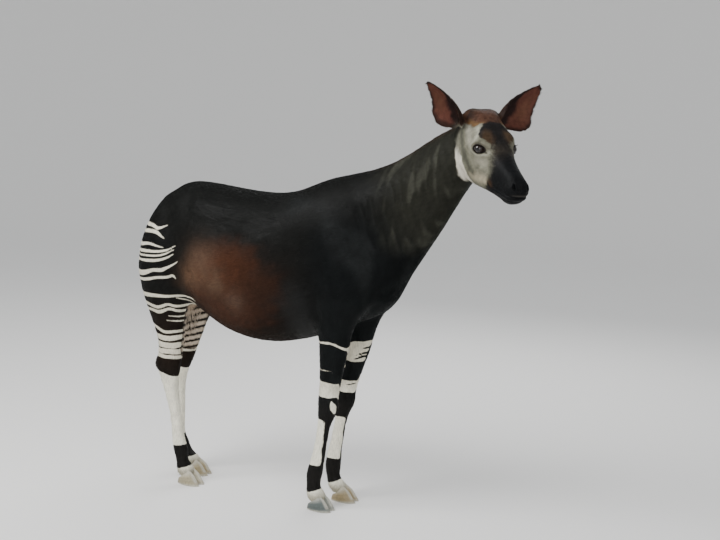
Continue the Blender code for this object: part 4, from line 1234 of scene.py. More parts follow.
def ear_colours(points, normals, colours):
    """Ears: brick red within their outer half, blackish painted shade deep within, dark behind and on
    the rim.
    """
    turned = normals @ head_turn()
    for hand in (1, -1):
        t, across, near = near_ear(points, hand)
        _, facing, _ = ear_axes(hand)
        noise = ripple(points, 0.022, 61 + hand)
        inside = filled(points, TINT["ear"])
        inside = mixed(inside, TINT["ear_middle"], bump(across - 0.55, 0.30) * bump(t - 0.55, 0.25))
        # Blackish painted shade deep in the hollow of the ear, out to the edge where it ends
        border = across - np.interp(t, *EAR_SHADE_EDGE) + 0.06 * noise
        inside = mixed(inside, TINT["ear_hollow_shade"], ramp(0.10, -0.14, border))
        low = ramp(0.30, 0.12, t) * ramp(0.3, -0.3, across)
        inside = mixed(inside, TINT["ear_root"], low)
        back = filled(points, TINT["ear_back"])
        back = mixed(back, TINT["ear_back_tip"], 0.7 * ramp(0.5, 0.95, t))
        ear = mixed(back, inside, ramp(-0.15, 0.15, turned @ facing))
        rim = ramp(0.86, 0.98, np.abs(across)) + ramp(0.93, 0.99, t)
        ear = mixed(ear, TINT["ear_rim"], 0.85 * rim)
        colours = mixed(colours, ear, ramp(0.0, 0.09, t) * near)
    return colours


def body_colours(places, normals, noise):
    """Near black body, red-brown flank, olive neck, brown crest; painted sheen on neck, shoulder and
    flank.
    """
    x, y, z = places.T
    colours = filled(places, TINT["body"])
    shoulder = ramp(-0.15, 0.05, x) * ramp(1.45, 1.2, z)
    colours = mixed(colours, TINT["shoulder"], shoulder)
    belly = ramp(0.95, 0.75, z) * ramp(0.0, -0.3, x)
    colours = mixed(colours, TINT["belly"], 0.7 * belly)
    flank = np.hypot((x + 0.440 + 0.03 * noise) / 0.265, (z - 0.985) / 0.235)
    colours = mixed(colours, TINT["flank"], ramp(1.12, 0.50, flank + 0.08 * noise))
    # Painted highlights of the coat's sheen on the flank, with a few darker places
    for place, radius, colour in FLANK_HIGHLIGHTS_AND_PATCHES:
        away = np.hypot(x - place[0], z - place[1]) + 0.02 * noise
        colours = mixed(colours, colour, 0.75 * bump(away, radius))
    of_neck = ramp(0.08, 0.34, along_neck(places)) * ramp(1.15, 1.30, z)
    colours = mixed(colours, TINT["neck"], 0.9 * of_neck)
    # Lighter olive-grey streaks on the neck: painted sheen of the light on its hair
    streaks = ripple(places * (1.7, 1, 0.45) + (0, 0, 0.27) * places[:, :1], 0.085, 73)
    colours = mixed(colours, TINT["neck_sheen_streak"], 0.78 * of_neck * ramp(0.10, 0.80, streaks))
    # Soft grey-green patches of painted sheen on the front of the body, off the neck
    patches = ramp(-0.10, 0.80, ripple(places * (1, 1, 0.6), 0.20, 74)) * (1 - of_neck)
    colours = mixed(colours, TINT["shoulder_painted_sheen"], 0.5 * patches * ramp(-0.30, -0.10, x))
    crest = of_neck * ramp(0.060, 0.020, np.abs(y - bend(x)))
    return mixed(colours, TINT["crest"], 0.8 * crest * (normals[:, 2] > 0))


def inner_thigh(places, sideways, hand):
    """Colours of the bare inner side of a thigh with its dark bars, and how far each place is of it."""
    x, y, z = places.T
    inner = ramp(0.010, -0.030, hand * (y - hand * 0.115))
    high = ramp(1.06, 0.96, z) * ramp(0.595, 0.640, z)
    bare = inner * high * ramp(0.30, -0.10, sideways * hand)
    tone = filled(places, TINT["inner_thigh"])
    tone = mixed(tone, TINT["inner_thigh_low"], ramp(0.90, 0.76, z))
    front, back, _, _ = leg_line("hind", hand, z)
    flat = places * (1, 0, 1)
    ahead = (x - back) / (front - back) + 0.03 * ripple(flat, 0.05, 34)
    behind = np.interp(z, *THIGH_BARE)
    phase = (z - 0.30 * (x - back)) / 0.0305 + 0.06 * ripple(flat, 0.07, 35)
    bars = ramp(0.10, 0.45, np.sin(2 * np.pi * phase))
    bars = bars * ramp(behind, behind + 0.16, ahead)
    return mixed(tone, TINT["thigh_bar"], bars), bare


def markings(points, normals):
    """Colour of the coat at each point, the colour of its white parts, and metres inside the white."""
    places = points - OFFSET
    x, y, z = places.T
    _, of_head = near_head(points)
    noise = ripple(places, 0.07, 71)
    colours = body_colours(places, normals, noise)
    colours = head_colours(points, colours)
    colours = ear_colours(points, normals, colours)
    white = np.full(len(points), -MARKING_REACH)
    for hand in (1, -1):
        here = (y * hand > 0) & (z < 1.27) & (x < -0.60) & (x > -1.2)
        if here.any():
            tone, bare = inner_thigh(places[here], normals[here, 1], hand)
            colours[here] = mixed(colours[here], tone, bare)
            found = white_of_hind(places[here], hand)
            found = np.where(bare > 0.15, np.minimum(found, -0.02 * bare), found)
            white[here] = np.maximum(white[here], found)
        here = (y * hand > 0) & (z < 0.82) & (x > -0.30)
        if here.any():
            white[here] = np.maximum(white[here], white_of_fore(places[here], hand))
    pale = mixed(filled(points, TINT["white"]), TINT["white_low"], ramp(0.60, 0.50, z))
    pale = mixed(pale, TINT["white_foot"], ramp(0.10, 0.05, z))
    pale = mixed(pale, TINT["white_head"], of_head)
    pale = pale * (1 + 0.08 * noise[:, None])
    colours = mixed(colours, TINT["lower_leg"], ramp(0.60, 0.40, z))
    colours = colours * (1 + 0.16 * noise + 0.14 * ripple(places, 0.025, 72))[:, None]
    white = np.clip(white, -MARKING_REACH, MARKING_REACH)
    return np.clip(colours, 0.002, 1), np.clip(pale, 0, 1), white


def add_attribute(mesh, name, values):
    """A number for each point, or a colour where the values have three or four columns."""
    plain = values.ndim == 1
    if not plain and values.shape[1] == 3:
        values = np.concatenate([values, np.ones((len(values), 1))], 1)
    layer = mesh.attributes.new(name, "FLOAT" if plain else "FLOAT_COLOR", "POINT")
    layer.data.foreach_set("value" if plain else "color", np.asarray(values, np.float32).ravel())


def lie(points, normals):
    """Direction in which the coat lies: back and down the body, down the limbs, from nose to poll."""
    places = points - OFFSET
    _, of_head = near_head(points)
    of_neck, of_leg = neck_and_legs(places)
    way = filled(points, (-1.0, 0.0, -0.35))
    way = mixed(way, (-0.35, 0.0, -1.0), ramp(-0.72, -0.86, places[:, 0]))
    way = mixed(way, (-0.72, 0.10, -0.75), of_neck)
    way = mixed(way, (-0.10, 0.0, -1.0), of_leg)
    back = -head_turn()[:, 0] - head_turn()[:, 2] * 0.25
    way = mixed(way, back, of_head)
    for hand in (1, -1):
        t, across, near = near_ear(points, hand)
        along, _, width = ear_axes(hand)
        fan = (along + 0.55 * np.clip(across, -1, 1)[:, None] * width * hand) @ head_turn().T
        way = mixed(way, fan, ramp(0.06, 0.16, t) * near)
    way = way - normals * (way * normals).sum(1)[:, None]
    return unit(way)


def claw_rings(sizes, foot, outwards, rings=26, count=72):
    """Rings of one horn claw, from its flat pointed sole up to the top that slopes to the heel.

    At share s of the length the sole is s^0.45 (1 - s^2.6)^0.62 wide; higher rings lean back and
    narrow, with low growth ridges, and the edges at the sole and top are rounded.
    """
    heel_x, middle_y, turn_out, _ = foot
    length, width = sizes.claw_length, sizes.claw_width
    turn = np.arange(count) * 2 * np.pi / count
    share = 0.5 + 0.5 * np.cos(turn)
    wide = share**0.45 * (1 - share**2.6) ** 0.62
    wide = wide * 0.5 * width / wide.max()
    side = np.sign(np.sin(turn))
    bulge = np.where(side * outwards > 0, CLAW_OUTER, CLAW_INNER)
    level = np.concatenate([np.linspace(0, 0.05, 4)[:-1], np.linspace(0.05, 1.0, rings)])[:, None]
    dome = within(level, 0.50, 1.0) ** 2
    pinch = 1 - 0.075 * ramp(0.05, 0.0, level) ** 2 - 0.55 * dome
    waves = np.sin(level * 34 + 0.8 * np.cos(turn + outwards))
    ridge = 1 + 0.010 * waves * ramp(0.08, 0.2, level)
    x = share * (1 - (CLAW_LEAN + CLAW_HEEL_LEAN) * level) + CLAW_HEEL_LEAN * level
    x = x + CLAW_HEEL_ROUND * ramp(0.45, 0.0, share) * level**3
    x = 0.40 * length + (length * x - 0.40 * length) * (1 - 0.70 * dome)
    y = side * wide * bulge * (1 - CLAW_TAPER * level**2) * pinch * ridge
    z = (level - 0.10 * dome) * (sizes.heel_height + (sizes.toe_height - sizes.heel_height) * share)
    x = x - 0.5 * length
    y = y + outwards * 0.5 * (CLAW_INNER * width + CLAW_GAP)
    angle = np.radians(turn_out) * np.sign(middle_y)
    turned_x = heel_x + 0.5 * length + x * np.cos(angle) - y * np.sin(angle)
    turned_y = middle_y + x * np.sin(angle) + y * np.cos(angle)
    return np.stack([turned_x, turned_y, z], -1) + OFFSET, level + 0 * turn, share + 0 * level


def eye_ball(hand):
    """A ball with a clear bulge in front: radius R (1 + 0.05 exp(-(angle / 32 deg)^2))."""
    angle = np.concatenate([np.linspace(0, 60, 44), np.linspace(63, 177, 32)])
    turn = np.arange(72) * 2 * np.pi / 72
    swell = 1 + 0.05 * bump(angle, 32.0)
    outwards, forward, upward = eye_axes(hand)
    a = np.radians(angle)[:, None]
    flat = forward * np.cos(turn)[:, None] + upward * np.sin(turn)[:, None]
    ways = np.cos(a)[..., None] * outwards + np.sin(a)[..., None] * flat[None]
    rings = EYE_RADIUS * swell[:, None, None] * ways
    wide = np.hypot(np.sin(a) * np.cos(turn) / 1.35, np.sin(a) * np.sin(turn) / 0.75)
    return out_of_head(rings + on_side(EYE_CENTRE, hand)), np.degrees(a) + 0 * turn, wide


def group_of(name, inputs, output, kind):
    """A new shader group with these number inputs and one output, and its input and output nodes."""
    tree = bpy.data.node_groups.get(name)
    if tree:
        bpy.data.node_groups.remove(tree)
    tree = bpy.data.node_groups.new(name, "ShaderNodeTree")
    for socket, value in inputs:
        made = tree.interface.new_socket(socket, in_out="INPUT", socket_type="NodeSocketFloat")
        made.default_value = value
    tree.interface.new_socket(output, in_out="OUTPUT", socket_type=kind)
    return tree, tree.nodes.new("NodeGroupInput"), tree.nodes.new("NodeGroupOutput")


def node(tree, kind, settings=None, **values):
    """A node with its settings; values go to inputs by name or by _number, and sockets are linked."""
    made = tree.nodes.new("ShaderNode" + kind)
    for name, value in (settings or {}).items():
        setattr(made, name, value)
    for name, value in values.items():
        key = int(name[1:]) if name[0] == "_" else name.replace("_", " ")
        if isinstance(value, bpy.types.NodeSocket):
            tree.links.new(value, made.inputs[key])
        else:
            made.inputs[key].default_value = value
    return made


def arithmetic(tree, operation, first, second):
    return node(tree, "Math", {"operation": operation}, _0=first, _1=second).outputs[0]


def stretched(tree, vector, factors):
    return node(tree, "VectorMath", {"operation": "MULTIPLY"}, _0=vector, _1=factors).outputs[0]


def attribute(tree, name, socket="Color"):
    return node(tree, "Attribute", {"attribute_name": name}).outputs[socket]


def smooth_step(tree, value, low, high):
    settings = {"interpolation_type": "SMOOTHSTEP"}
    return node(tree, "MapRange", settings, Value=value, From_Min=low, From_Max=high).outputs[0]


def mixed_colour(tree, share, first, second):
    return node(tree, "Mix", {"data_type": "RGBA"}, _0=share, _6=first, _7=second).outputs[2]


def mottled(tree, colour, noise, dark, light):
    """The colour made darker and lighter by a noise."""
    factor = node(tree, "MapRange", Value=noise, From_Min=0.3, From_Max=0.7, To_Min=dark, To_Max=light)
    settings = {"operation": "SCALE"}
    return node(tree, "VectorMath", settings, _0=colour, Scale=factor.outputs[0]).outputs[0]


def lay_streaks():
    """Fine streaks of hair along the body, limbs, neck and head, mixed by the zones of the skin."""
    tree, start, end = group_of("Lay of the hair", [("Fineness", 420.0)], "Height", "NodeSocketFloat")
    place = node(tree, "TexCoord").outputs["Object"]
    zones = node(tree, "Attribute", {"attribute_name": "zones"})
    parts = node(tree, "SeparateColor", Color=zones.outputs["Color"])
    total = 0.0
    for degrees, stretch, share in (
        ((0, 12, 0), (0.12, 1, 1), parts.outputs["Red"]),
        ((0, 52, 0), (0.12, 1, 1), parts.outputs["Green"]),
        ((0, -25, 39), (0.12, 1, 1), parts.outputs["Blue"]),
        ((0, 0, 0), (1, 1, 0.12), zones.outputs["Alpha"]),
    ):
        turn = np.radians(degrees)
        turned = node(tree, "Mapping", {"vector_type": "TEXTURE"}, Vector=place, Rotation=turn)
        vector = stretched(tree, turned.outputs[0], stretch)
        noise = node(tree, "TexNoise", Vector=vector, Scale=start.outputs[0], Detail=2.0)
        total = arithmetic(tree, "ADD", total, arithmetic(tree, "MULTIPLY", noise.outputs[0], share))
    tree.links.new(total, end.inputs[0])
    return tree


def marked_colour():
    """Dark coat or white, parted where the distance to the white, roughened by the hair, is 0."""
    inputs = [("Streaks", 0.5), ("Ragged", 0.004)]
    tree, start, end = group_of("Markings", inputs, "Color", "NodeSocketColor")
    uneven = arithmetic(tree, "SUBTRACT", start.outputs[0], 0.5)
    uneven = arithmetic(tree, "MULTIPLY", uneven, start.outputs[1])
    edge = arithmetic(tree, "ADD", attribute(tree, "white", "Fac"), uneven)
    share = smooth_step(tree, edge, -0.0013, 0.0013)
    both_coats = mixed_colour(tree, share, attribute(tree, "tone"), attribute(tree, "pale"))
    tree.links.new(mottled(tree, both_coats, start.outputs[0], 0.78, 1.22), end.inputs[0])
    return tree


def new_material(name, roughness, **numbers):
    """An empty Principled material; numbers go straight to the shader's own sockets."""
    old = bpy.data.materials.get(name)
    if old:
        bpy.data.materials.remove(old)
    made = bpy.data.materials.new(name)
    made.use_nodes = True
    shader = made.node_tree.nodes["Principled BSDF"]
    shader.inputs["Roughness"].default_value = roughness
    for key, value in numbers.items():
        shader.inputs[key.replace("_", " ")].default_value = value
    return made, made.node_tree, shader


def haired_material(name, settings):
    """A dull material with the coat's sheen."""
    return new_material(
        name, settings.roughness,
        Sheen_Weight=settings.sheen, Sheen_Roughness=0.45, Specular_IOR_Level=0.06,
    )


def skin_material(settings):
    made, tree, shader = haired_material("Skin with short coat", settings)
    streaks, colour = tree.nodes.new("ShaderNodeGroup"), tree.nodes.new("ShaderNodeGroup")
    streaks.node_tree, colour.node_tree = lay_streaks(), marked_colour()
    tree.links.new(streaks.outputs[0], colour.inputs[0])
    bumps = node(tree, "Bump", Strength=0.35, Distance=0.0005, Height=streaks.outputs[0])
    tree.links.new(colour.outputs[0], shader.inputs["Base Color"])
    tree.links.new(bumps.outputs[0], shader.inputs["Normal"])
    return made


def coat_material(settings):
    made, tree, shader = haired_material("Coat tufts", settings)
    tree.links.new(attribute(tree, "tone"), shader.inputs["Base Color"])
    return made


def make_skin(settings):
    """The skin with its markings, and with its zones: trunk, neck, head and legs."""
    mesh = body_skin(settings)
    points, normals = read(mesh, "co"), read(mesh, "normal")
    for name, values in zip(("tone", "pale", "white"), markings(points, normals)):
        add_attribute(mesh, name, values)
    places = points - OFFSET
    _, of_head = near_head(points)
    of_neck, of_leg = neck_and_legs(places)
    of_neck = of_neck * (1 - of_head)
    of_leg = np.maximum(of_leg, ramp(-0.74, -0.88, places[:, 0]))
    of_trunk = (1 - of_head) * (1 - of_neck) * (1 - of_leg)
    add_attribute(mesh, "zones", np.stack([of_trunk, of_neck, of_head, of_leg * (1 - of_neck)], 1))
    mesh.name = "okapi_skin"
    return mesh


def spread_roots(chance, corners, share, count):
    """Random places on triangles, as many on each as its area times its share asks for."""
    across = np.cross(corners[:, 1] - corners[:, 0], corners[:, 2] - corners[:, 0])
    weight = np.linalg.norm(across, axis=1) * share
    total = np.cumsum(weight)
    picked = np.searchsorted(total, chance.random(count) * total[-1])
    picked = np.minimum(picked, len(corners) - 1)
    a, b = chance.random((2, count, 1))
    turn = a + b > 1
    a, b = np.where(turn, 1 - a, a), np.where(turn, 1 - b, b)
    return picked, np.concatenate([1 - a - b, a, b], 1)


def tuft_shapes(roots, normals, way, length, width, rise, sink=0.0005):
    """Thin spindles: a root in the skin, a ring of three at two fifths of the length, and a tip.

    With t the share of the length, the middle line is root + t length way + rise t^1.3 normal.
    """
    side = np.cross(normals, way)
    length, width, rise = length[:, None], width[:, None], rise[:, None]
    middle = roots + 0.40 * length * way + rise * 0.45 * normals
    shapes = [
        roots - sink * normals,
        middle - 0.5 * width * side - 0.15 * width * normals,
        middle + 0.5 * width * side - 0.15 * width * normals,
        middle + 0.42 * width * normals,
        roots + length * way + rise * normals,
    ]
    return np.stack(shapes, 1)


def tuft_mesh(name, shapes, normals, colours, spots):
    """All tufts of one piece as a mesh with colours, soft normals and the unwrap of their roots."""
    count = len(shapes)
    faces = (np.arange(count)[:, None, None] * 5 + TUFT_FACES).reshape(-1, 3)
    mesh = new_mesh(name, shapes.reshape(-1, 3), faces)
    tones = np.repeat(colours, 5, 0) * np.tile(TUFT_LIGHT, count)[:, None]
    add_attribute(mesh, "tone", np.clip(tones, 0, 1))
    corners = (spots[:, None] + TUFT_SPREAD).reshape(-1, 2)[faces.ravel()]
    mesh.uv_layers.new(name="OFBake").data.foreach_set("uv", corners.astype(np.float32).ravel())
    own = read(mesh, "normal")
    soft = unit(0.88 * np.repeat(normals, 5, 0) + 0.12 * own)
    mesh.normals_split_custom_set_from_vertices(soft.tolist())
    return mesh


def unwrap(zone, points, normals):
    """Place of each point on an unwrap of its part of the skin: round it and along it, 0 to 1."""
    x, y, z = (points - OFFSET).T
    head = in_head(points)
    hand = 1 if zone.endswith("left") else -1
    if zone.startswith("ear"):
        t, across, _ = ear_place(points, hand)
        front = (normals @ head_turn()) @ ear_axes(hand)[1] > 0
        round_it = np.where(front, 0.25 + 0.12 * across, 0.75 - 0.12 * across)
        return np.stack([np.clip(round_it, 0, 1), within(t, -0.1, 1.05)], 1)
    if zone.startswith("head"):
        angle = np.arctan2(head[:, 2] + 0.03, head[:, 1] * hand)
        along = within(head[:, 0], -0.10, 0.47)
    elif zone.startswith("neck"):
        middle = 0.78 * x - 0.62 * z
        angle = np.arctan2(middle - np.median(middle), (y - bend(x)) * hand)
        along = within(0.62 * x + 0.78 * z, 0.75, 1.95)
    elif zone.startswith("tail"):
        angle = np.arctan2(x + 0.98, y)
        along = within(z, 0.6, 1.35)
    elif zone.startswith(("fore", "hind")):
        front, back, middle, _ = leg_line(zone[:4], hand, z)
        angle = np.arctan2(x - 0.5 * (front + back), y - middle)
        along = within(z, 0.0, 1.45)
    else:
        angle = np.arctan2(z - 1.10, y * hand)
        along = within(x, -1.05, 0.45)
    return np.stack([within(angle, -np.pi, np.pi), along], 1)


def zone_names(points):
    """Name of the part of the coat for each point."""
    places = points - OFFSET
    x, y, z = places.T
    head, of_head = near_head(points)
    hand = np.where(y > 0, "left", "right")
    names = np.where(x < -0.30, "trunk_rear_", "trunk_front_").astype("U24")
    names[(along_neck(places) > 0.16) & (z > 1.10)] = "neck_"
    hind = (x < -0.62) & (z < 1.20) & (z < 1.20 + 0.9 * (-0.70 - x) + 0.3)
    names[hind] = "hind_"
    names[(x > -0.16) & (z < 0.98)] = "fore_"
    hand = np.where(names == "neck_", np.where(y > bend(x), "left", "right"), hand)
    of_face = of_head > 0.5
    names[of_face] = "head_"
    hand = np.where(of_face, np.where(head[:, 1] > 0, "left", "right"), hand)
    names = np.char.add(names, hand)
    tail = (x < -0.955) & (z < 1.20) & (np.abs(y) < 0.028)
    names[tail] = "tail"
    for side, text in ((1, "left"), (-1, "right")):
        t, _, near = near_ear(points, side)
        names[near & (t > 0.08)] = f"ear_{text}"
    return names


def density(zone, middles):
    """How densely tufts stand: more on the muzzle and beside the eyes, none on lids and lips."""
    share = np.ones(len(middles))
    if zone.startswith("head"):
        head = in_head(middles)
        share = share + 1.2 * ramp(0.25, 0.36, head[:, 0])
        for hand in (1, -1):
            rim, beside = near_eye(head, hand)
            share = share * np.where(beside & (rim < 0.0022), 0.0, 1.0)
            share = share * np.where(beside & (rim < 0.012), 2.0, 1.0)
        share = share * (1 - bump(mouth_height(head), 0.0035) * (head[:, 0] > 0.30))
    return share


def make_coat(zone, skin, settings):
    """Mesh of the tufts of one part of the coat, rooted on the skin."""
    count, length, width, rise = COAT[zone]
    count, length = int(count * settings.fullness), length * settings.tuft_length
    points, normals = read(skin, "co"), read(skin, "normal")
    skin.calc_loop_triangles()
    faces = np.empty(len(skin.loop_triangles) * 3, np.int64)
    skin.loop_triangles.foreach_get("vertices", faces)
    faces = faces.reshape(-1, 3)
    faces = faces[zone_names(points[faces].mean(1)) == zone]
    share = density(zone, points[faces].mean(1))
    chance = np.random.default_rng(sum(map(ord, zone)))
    picked, weights = spread_roots(chance, points[faces], share, count)
    roots = (points[faces[picked]] * weights[..., None]).sum(1)
    up = unit((normals[faces[picked]] * weights[..., None]).sum(1))
    way = lie(roots, up)
    side = np.cross(up, way)
    jitter = chance.normal(0, 0.09, count)[:, None] + 0.10 * ripple(roots, 0.09, 5)[:, None]
    way = unit(way + jitter * side)
    size = np.exp(chance.normal(0, 0.18, count))
    size = size * scale_of_hair(zone, roots)
    tone, pale, white = markings(roots + (0.45 * length * size)[:, None] * way, up)
    size = size * (0.45 + 0.55 * ramp(0.0005, 0.0080, np.abs(white)))
    places = roots - OFFSET
    lengths = np.full(count, length) * size
    widths = np.full(count, width) * np.exp(chance.normal(0, 0.15, count)) * np.minimum(size, 1.2)
    rises = np.full(count, rise) * size * chance.uniform(0.4, 1.3, count)
    if zone == "tail":
        brush = ramp(0.98, 0.80, places[:, 2])
        lengths = lengths * (1 + 2.2 * brush)
        rises = rises * (1 + 1.8 * brush)
    shapes = tuft_shapes(roots, up, way, lengths, widths, rises)
    colours = np.where((white > chance.normal(0, 0.0006, count))[:, None], pale, tone)
    colours = colours * np.exp(chance.normal(0, 0.13, count))[:, None]
    return tuft_mesh(f"coat_{zone}", shapes, up, colours, unwrap(zone, roots, up))


def scale_of_hair(zone, roots):
    """Shorter hair on the muzzle, round the eyes and on the feet, longer over the coronet."""
    size = np.ones(len(roots))
    if zone.startswith("head"):
        head = in_head(roots)
        size = size * (1 - 0.55 * ramp(0.22, 0.36, head[:, 0]))
        for hand in (1, -1):
            rim, beside = near_eye(head, hand)
            size = size * np.where(beside, 0.45 + 0.55 * ramp(0.002, 0.022, rim), 1.0)
    if zone.startswith(("fore", "hind")):
        height = (roots - OFFSET)[:, 2]
        size = size * (1 - 0.35 * ramp(0.55, 0.15, height) + 1.1 * bump(height - 0.074, 0.016))
    return size


def claw_colours(foot, outwards, level, share):
    """Horn in the foot's tint, paler at the sole, the top and along the cleft, with soft rings."""
    pale = ramp(0.20, 0.04, level) * 0.65 + ramp(0.50, 0.95, level) * 0.70
    light = 0.85 + 0.3 * level + 0.072 * np.sin(level * 30 + share * 3)
    tone = np.array(foot[3]) * light[..., None]
    cleft = ramp(0.90, 0.97, share) * ramp(0.10, 0.30, level)
    pale = np.maximum(pale, 0.75 * cleft)
    if outwards > 0 > foot[1]:
        pale = np.maximum(pale, 0.35)
    tone = tone + (np.array(CLAW_PALE) - tone) * pale[..., None]
    flat = tone.reshape(-1, 3)
    return np.vstack([flat, tone[0].mean(0), tone[-1].mean(0)])


def make_hooves(settings):
    """All eight claws as one mesh, tinted for each foot."""
    pieces, colours = [], []
    for foot in HOOVES.values():
        for outwards in (1, -1):
            rings, level, share = claw_rings(settings, foot, outwards)
            pieces.append(facing_out(*closed_tube(rings)))
            colours.append(claw_colours(foot, outwards, level, share))
    mesh = new_mesh("hooves", *joined(pieces))
    add_attribute(mesh, "tone", np.clip(np.vstack(colours), 0, 1))
    return mesh


def make_eyes():
    """Both eyes with, at each point, the angle from the middle and the place in the wide pupil."""
    pieces, angles, pupils = [], [], []
    for hand in (1, -1):
        rings, angle, wide = eye_ball(hand)
        pieces.append(facing_out(*closed_tube(rings)))
        angles += [angle.ravel(), [0.0, 180.0]]
        pupils += [wide.ravel(), [0.0, 3.0]]
    mesh = new_mesh("eyes", *joined(pieces))
    add_attribute(mesh, "angle", np.concatenate(angles))
    add_attribute(mesh, "pupil", np.concatenate(pupils))
    return mesh


def make_lashes(lash_length):
    """Lashes along the upper lid of each eye, longest at its middle, curved up and outwards."""
    shapes, ups, spots = [], [], []
    chance = np.random.default_rng(4)
    for hand in (1, -1):
        share = np.sort(chance.uniform(-0.85, 0.85, LASH_COUNT))
        along = np.where(share > 0, EYE_LENGTH[0], EYE_LENGTH[1]) * share
        up = EYE_HEIGHT[0] * np.sqrt(np.maximum(1 - np.abs(share) ** 1.7, 0)) + 0.0004
        outwards, forward, upward = eye_axes(hand)
        out = (EYE_RADIUS + LID_THICKNESS) ** 2 - along**2 - up**2
        out = np.sqrt(np.maximum(out, (0.42 * EYE_RADIUS) ** 2))
        root = on_side(EYE_CENTRE, hand) + along[:, None] * forward + up[:, None] * upward
        root = root + (out - 0.0006)[:, None] * outwards
        lean = chance.normal(0, 0.15, LASH_COUNT)[:, None]
        rise = 0.10 + 0.2 * chance.random(LASH_COUNT)[:, None]
        way = unit(outwards + upward * rise + forward * (share[:, None] * 0.7 + lean))
        up_way = unit(upward - way * (way @ upward)[:, None])
        length = lash_length * (1 - 0.45 * share**2) * chance.uniform(0.75, 1.1, LASH_COUNT)
        width = np.full(LASH_COUNT, 0.00055)
        shapes.append(out_of_head(tuft_shapes(root, up_way, way, length, width, length * 0.35, 0.0)))
        ups.append(up_way @ head_turn().T)
        spots.append(np.stack([0.25 * (hand + 2) + 0.15 * share, np.full(LASH_COUNT, 0.5)], 1))
    shapes, ups, spots = (np.concatenate(values) for values in (shapes, ups, spots))
    return tuft_mesh("lashes", shapes, ups, filled(shapes, (0.008, 0.007, 0.007)), spots)


def hoof_material(settings):
    made, tree, shader = new_material("Hoof horn", settings.roughness, Specular_IOR_Level=0.45)
    vector = stretched(tree, node(tree, "TexCoord").outputs["Object"], (1, 1, 0.15))
    grain = node(tree, "TexNoise", Vector=vector, Scale=420.0, Detail=3.0).outputs[0]
    toned = mottled(tree, attribute(tree, "tone"), grain, 0.72, 1.22)
    tree.links.new(toned, shader.inputs["Base Color"])
    bumps = node(tree, "Bump", Strength=0.5, Distance=0.0006, Height=grain)
    tree.links.new(bumps.outputs[0], shader.inputs["Normal"])
    return made


def eye_material(settings):
    made, tree, shader = new_material(
        "Eye", 0.08, Specular_IOR_Level=0.25, Coat_Weight=0.45, Coat_Roughness=0.02
    )
    iris = smooth_step(tree, attribute(tree, "angle", "Fac"), 40.0, 46.0)
    hole = smooth_step(tree, attribute(tree, "pupil", "Fac"), 0.34, 0.40)
    ball = mixed_colour(tree, iris, (*settings.iris, 1), (0.018, 0.012, 0.010, 1))
    eye = mixed_colour(tree, hole, (0.002, 0.002, 0.003, 1), ball)
    tree.links.new(eye, shader.inputs["Base Color"])
    return made


class OkapiSkinSettings(bpy.types.PropertyGroup):
    cell: FloatProperty(
        name="Cell", description="Size of the grid that joins the body",
        default=0.0124, min=0.008, unit="LENGTH",
    )
    fold_depth: FloatProperty(
        name="Fold depth", description="Depth of the fine folds of the neck",
        default=0.0013, min=0, unit="LENGTH",
    )


class OkapiCoatSettings(bpy.types.PropertyGroup):
    fullness: FloatProperty(
        name="Fullness", description="Share of the tufts that are made", default=1.0, min=0.05, max=1
    )
    tuft_length: FloatProperty(
        name="Length", description="Length of the tufts over their usual one", default=1.0, min=0.2
    )
    roughness: FloatProperty(
        name="Roughness", description="Roughness of the coat", default=0.48, min=0, max=1
    )
    sheen: FloatProperty(
        name="Sheen", description="Soft light on the edges of the coat", default=0.005, min=0, max=1
    )


class OkapiHoofSettings(bpy.types.PropertyGroup):
    claw_length: FloatProperty(
        name="Length", description="Length of a claw's sole", default=0.122, unit="LENGTH"
    )
    claw_width: FloatProperty(
        name="Width", description="Width of a claw's sole", default=0.046, unit="LENGTH"
    )
    toe_height: FloatProperty(
        name="Toe height", description="Height of the claw in front", default=0.080, unit="LENGTH"
    )
    heel_height: FloatProperty(
        name="Heel height", description="Height of the claw behind", default=0.044, unit="LENGTH"
    )
    roughness: FloatProperty(
        name="Roughness", description="Roughness of the horn", default=0.50, min=0, max=1
    )


class OkapiEyeSettings(bpy.types.PropertyGroup):
    iris: FloatVectorProperty(
        name="Iris", description="Colour of the iris",
        default=(0.012, 0.0055, 0.003), subtype="COLOR", min=0, max=1,
    )
    lash_length: FloatProperty(
        name="Lashes", description="Length of the longest lash", default=0.0095, unit="LENGTH"
    )


class OkapiStageSettings(bpy.types.PropertyGroup):
    floor_colour: FloatVectorProperty(
        name="Floor", description="Colour of the floor",
        default=(0.84, 0.83, 0.81), subtype="COLOR", min=0, max=1,
    )
    key_power: FloatProperty(
        name="Key light", description="Power of the upper light", default=230.0, min=0, unit="POWER"
    )
    fill_power: FloatProperty(
        name="Fill light", description="Power of the light in front", default=95.0, min=0, unit="POWER"
    )
    back_power: FloatProperty(
        name="Back light", description="Power of the light behind", default=85.0, min=0, unit="POWER"
    )
    sky: FloatProperty(
        name="Surroundings", description="Brightness of the surroundings", default=0.75, min=0
    )


class OKAPI_OT_skin(bpy.types.Operator):
    """Make the skin of the whole body, with its ears, lids, folds and markings"""

    bl_idname = "okapi.skin"
    bl_label = "Skin"

    def execute(self, context):
        mesh = make_skin(context.scene.okapi_skin)
        new_piece("skin", mesh, skin_material(context.scene.okapi_coat), FLESH)
        return {"FINISHED"}


class OKAPI_OT_coat(bpy.types.Operator):
    """Grow the tufts of the coat on the skin, one piece for each part of the body"""

    bl_idname = "okapi.coat"
    bl_label = "Coat"

    def execute(self, context):
        settings = context.scene.okapi_coat
        material = coat_material(settings)
        for zone in COAT:
            mesh = make_coat(zone, bpy.data.objects["skin"].data, settings)
            new_piece(f"coat_{zone}", mesh, material)
        return {"FINISHED"}


class OKAPI_OT_hooves(bpy.types.Operator):
    """Make the eight horn claws"""

    bl_idname = "okapi.hooves"
    bl_label = "Hooves"

    def execute(self, context):
        settings = context.scene.okapi_hooves
        new_piece("hooves", make_hooves(settings), hoof_material(settings), CLAWS)
        return {"FINISHED"}


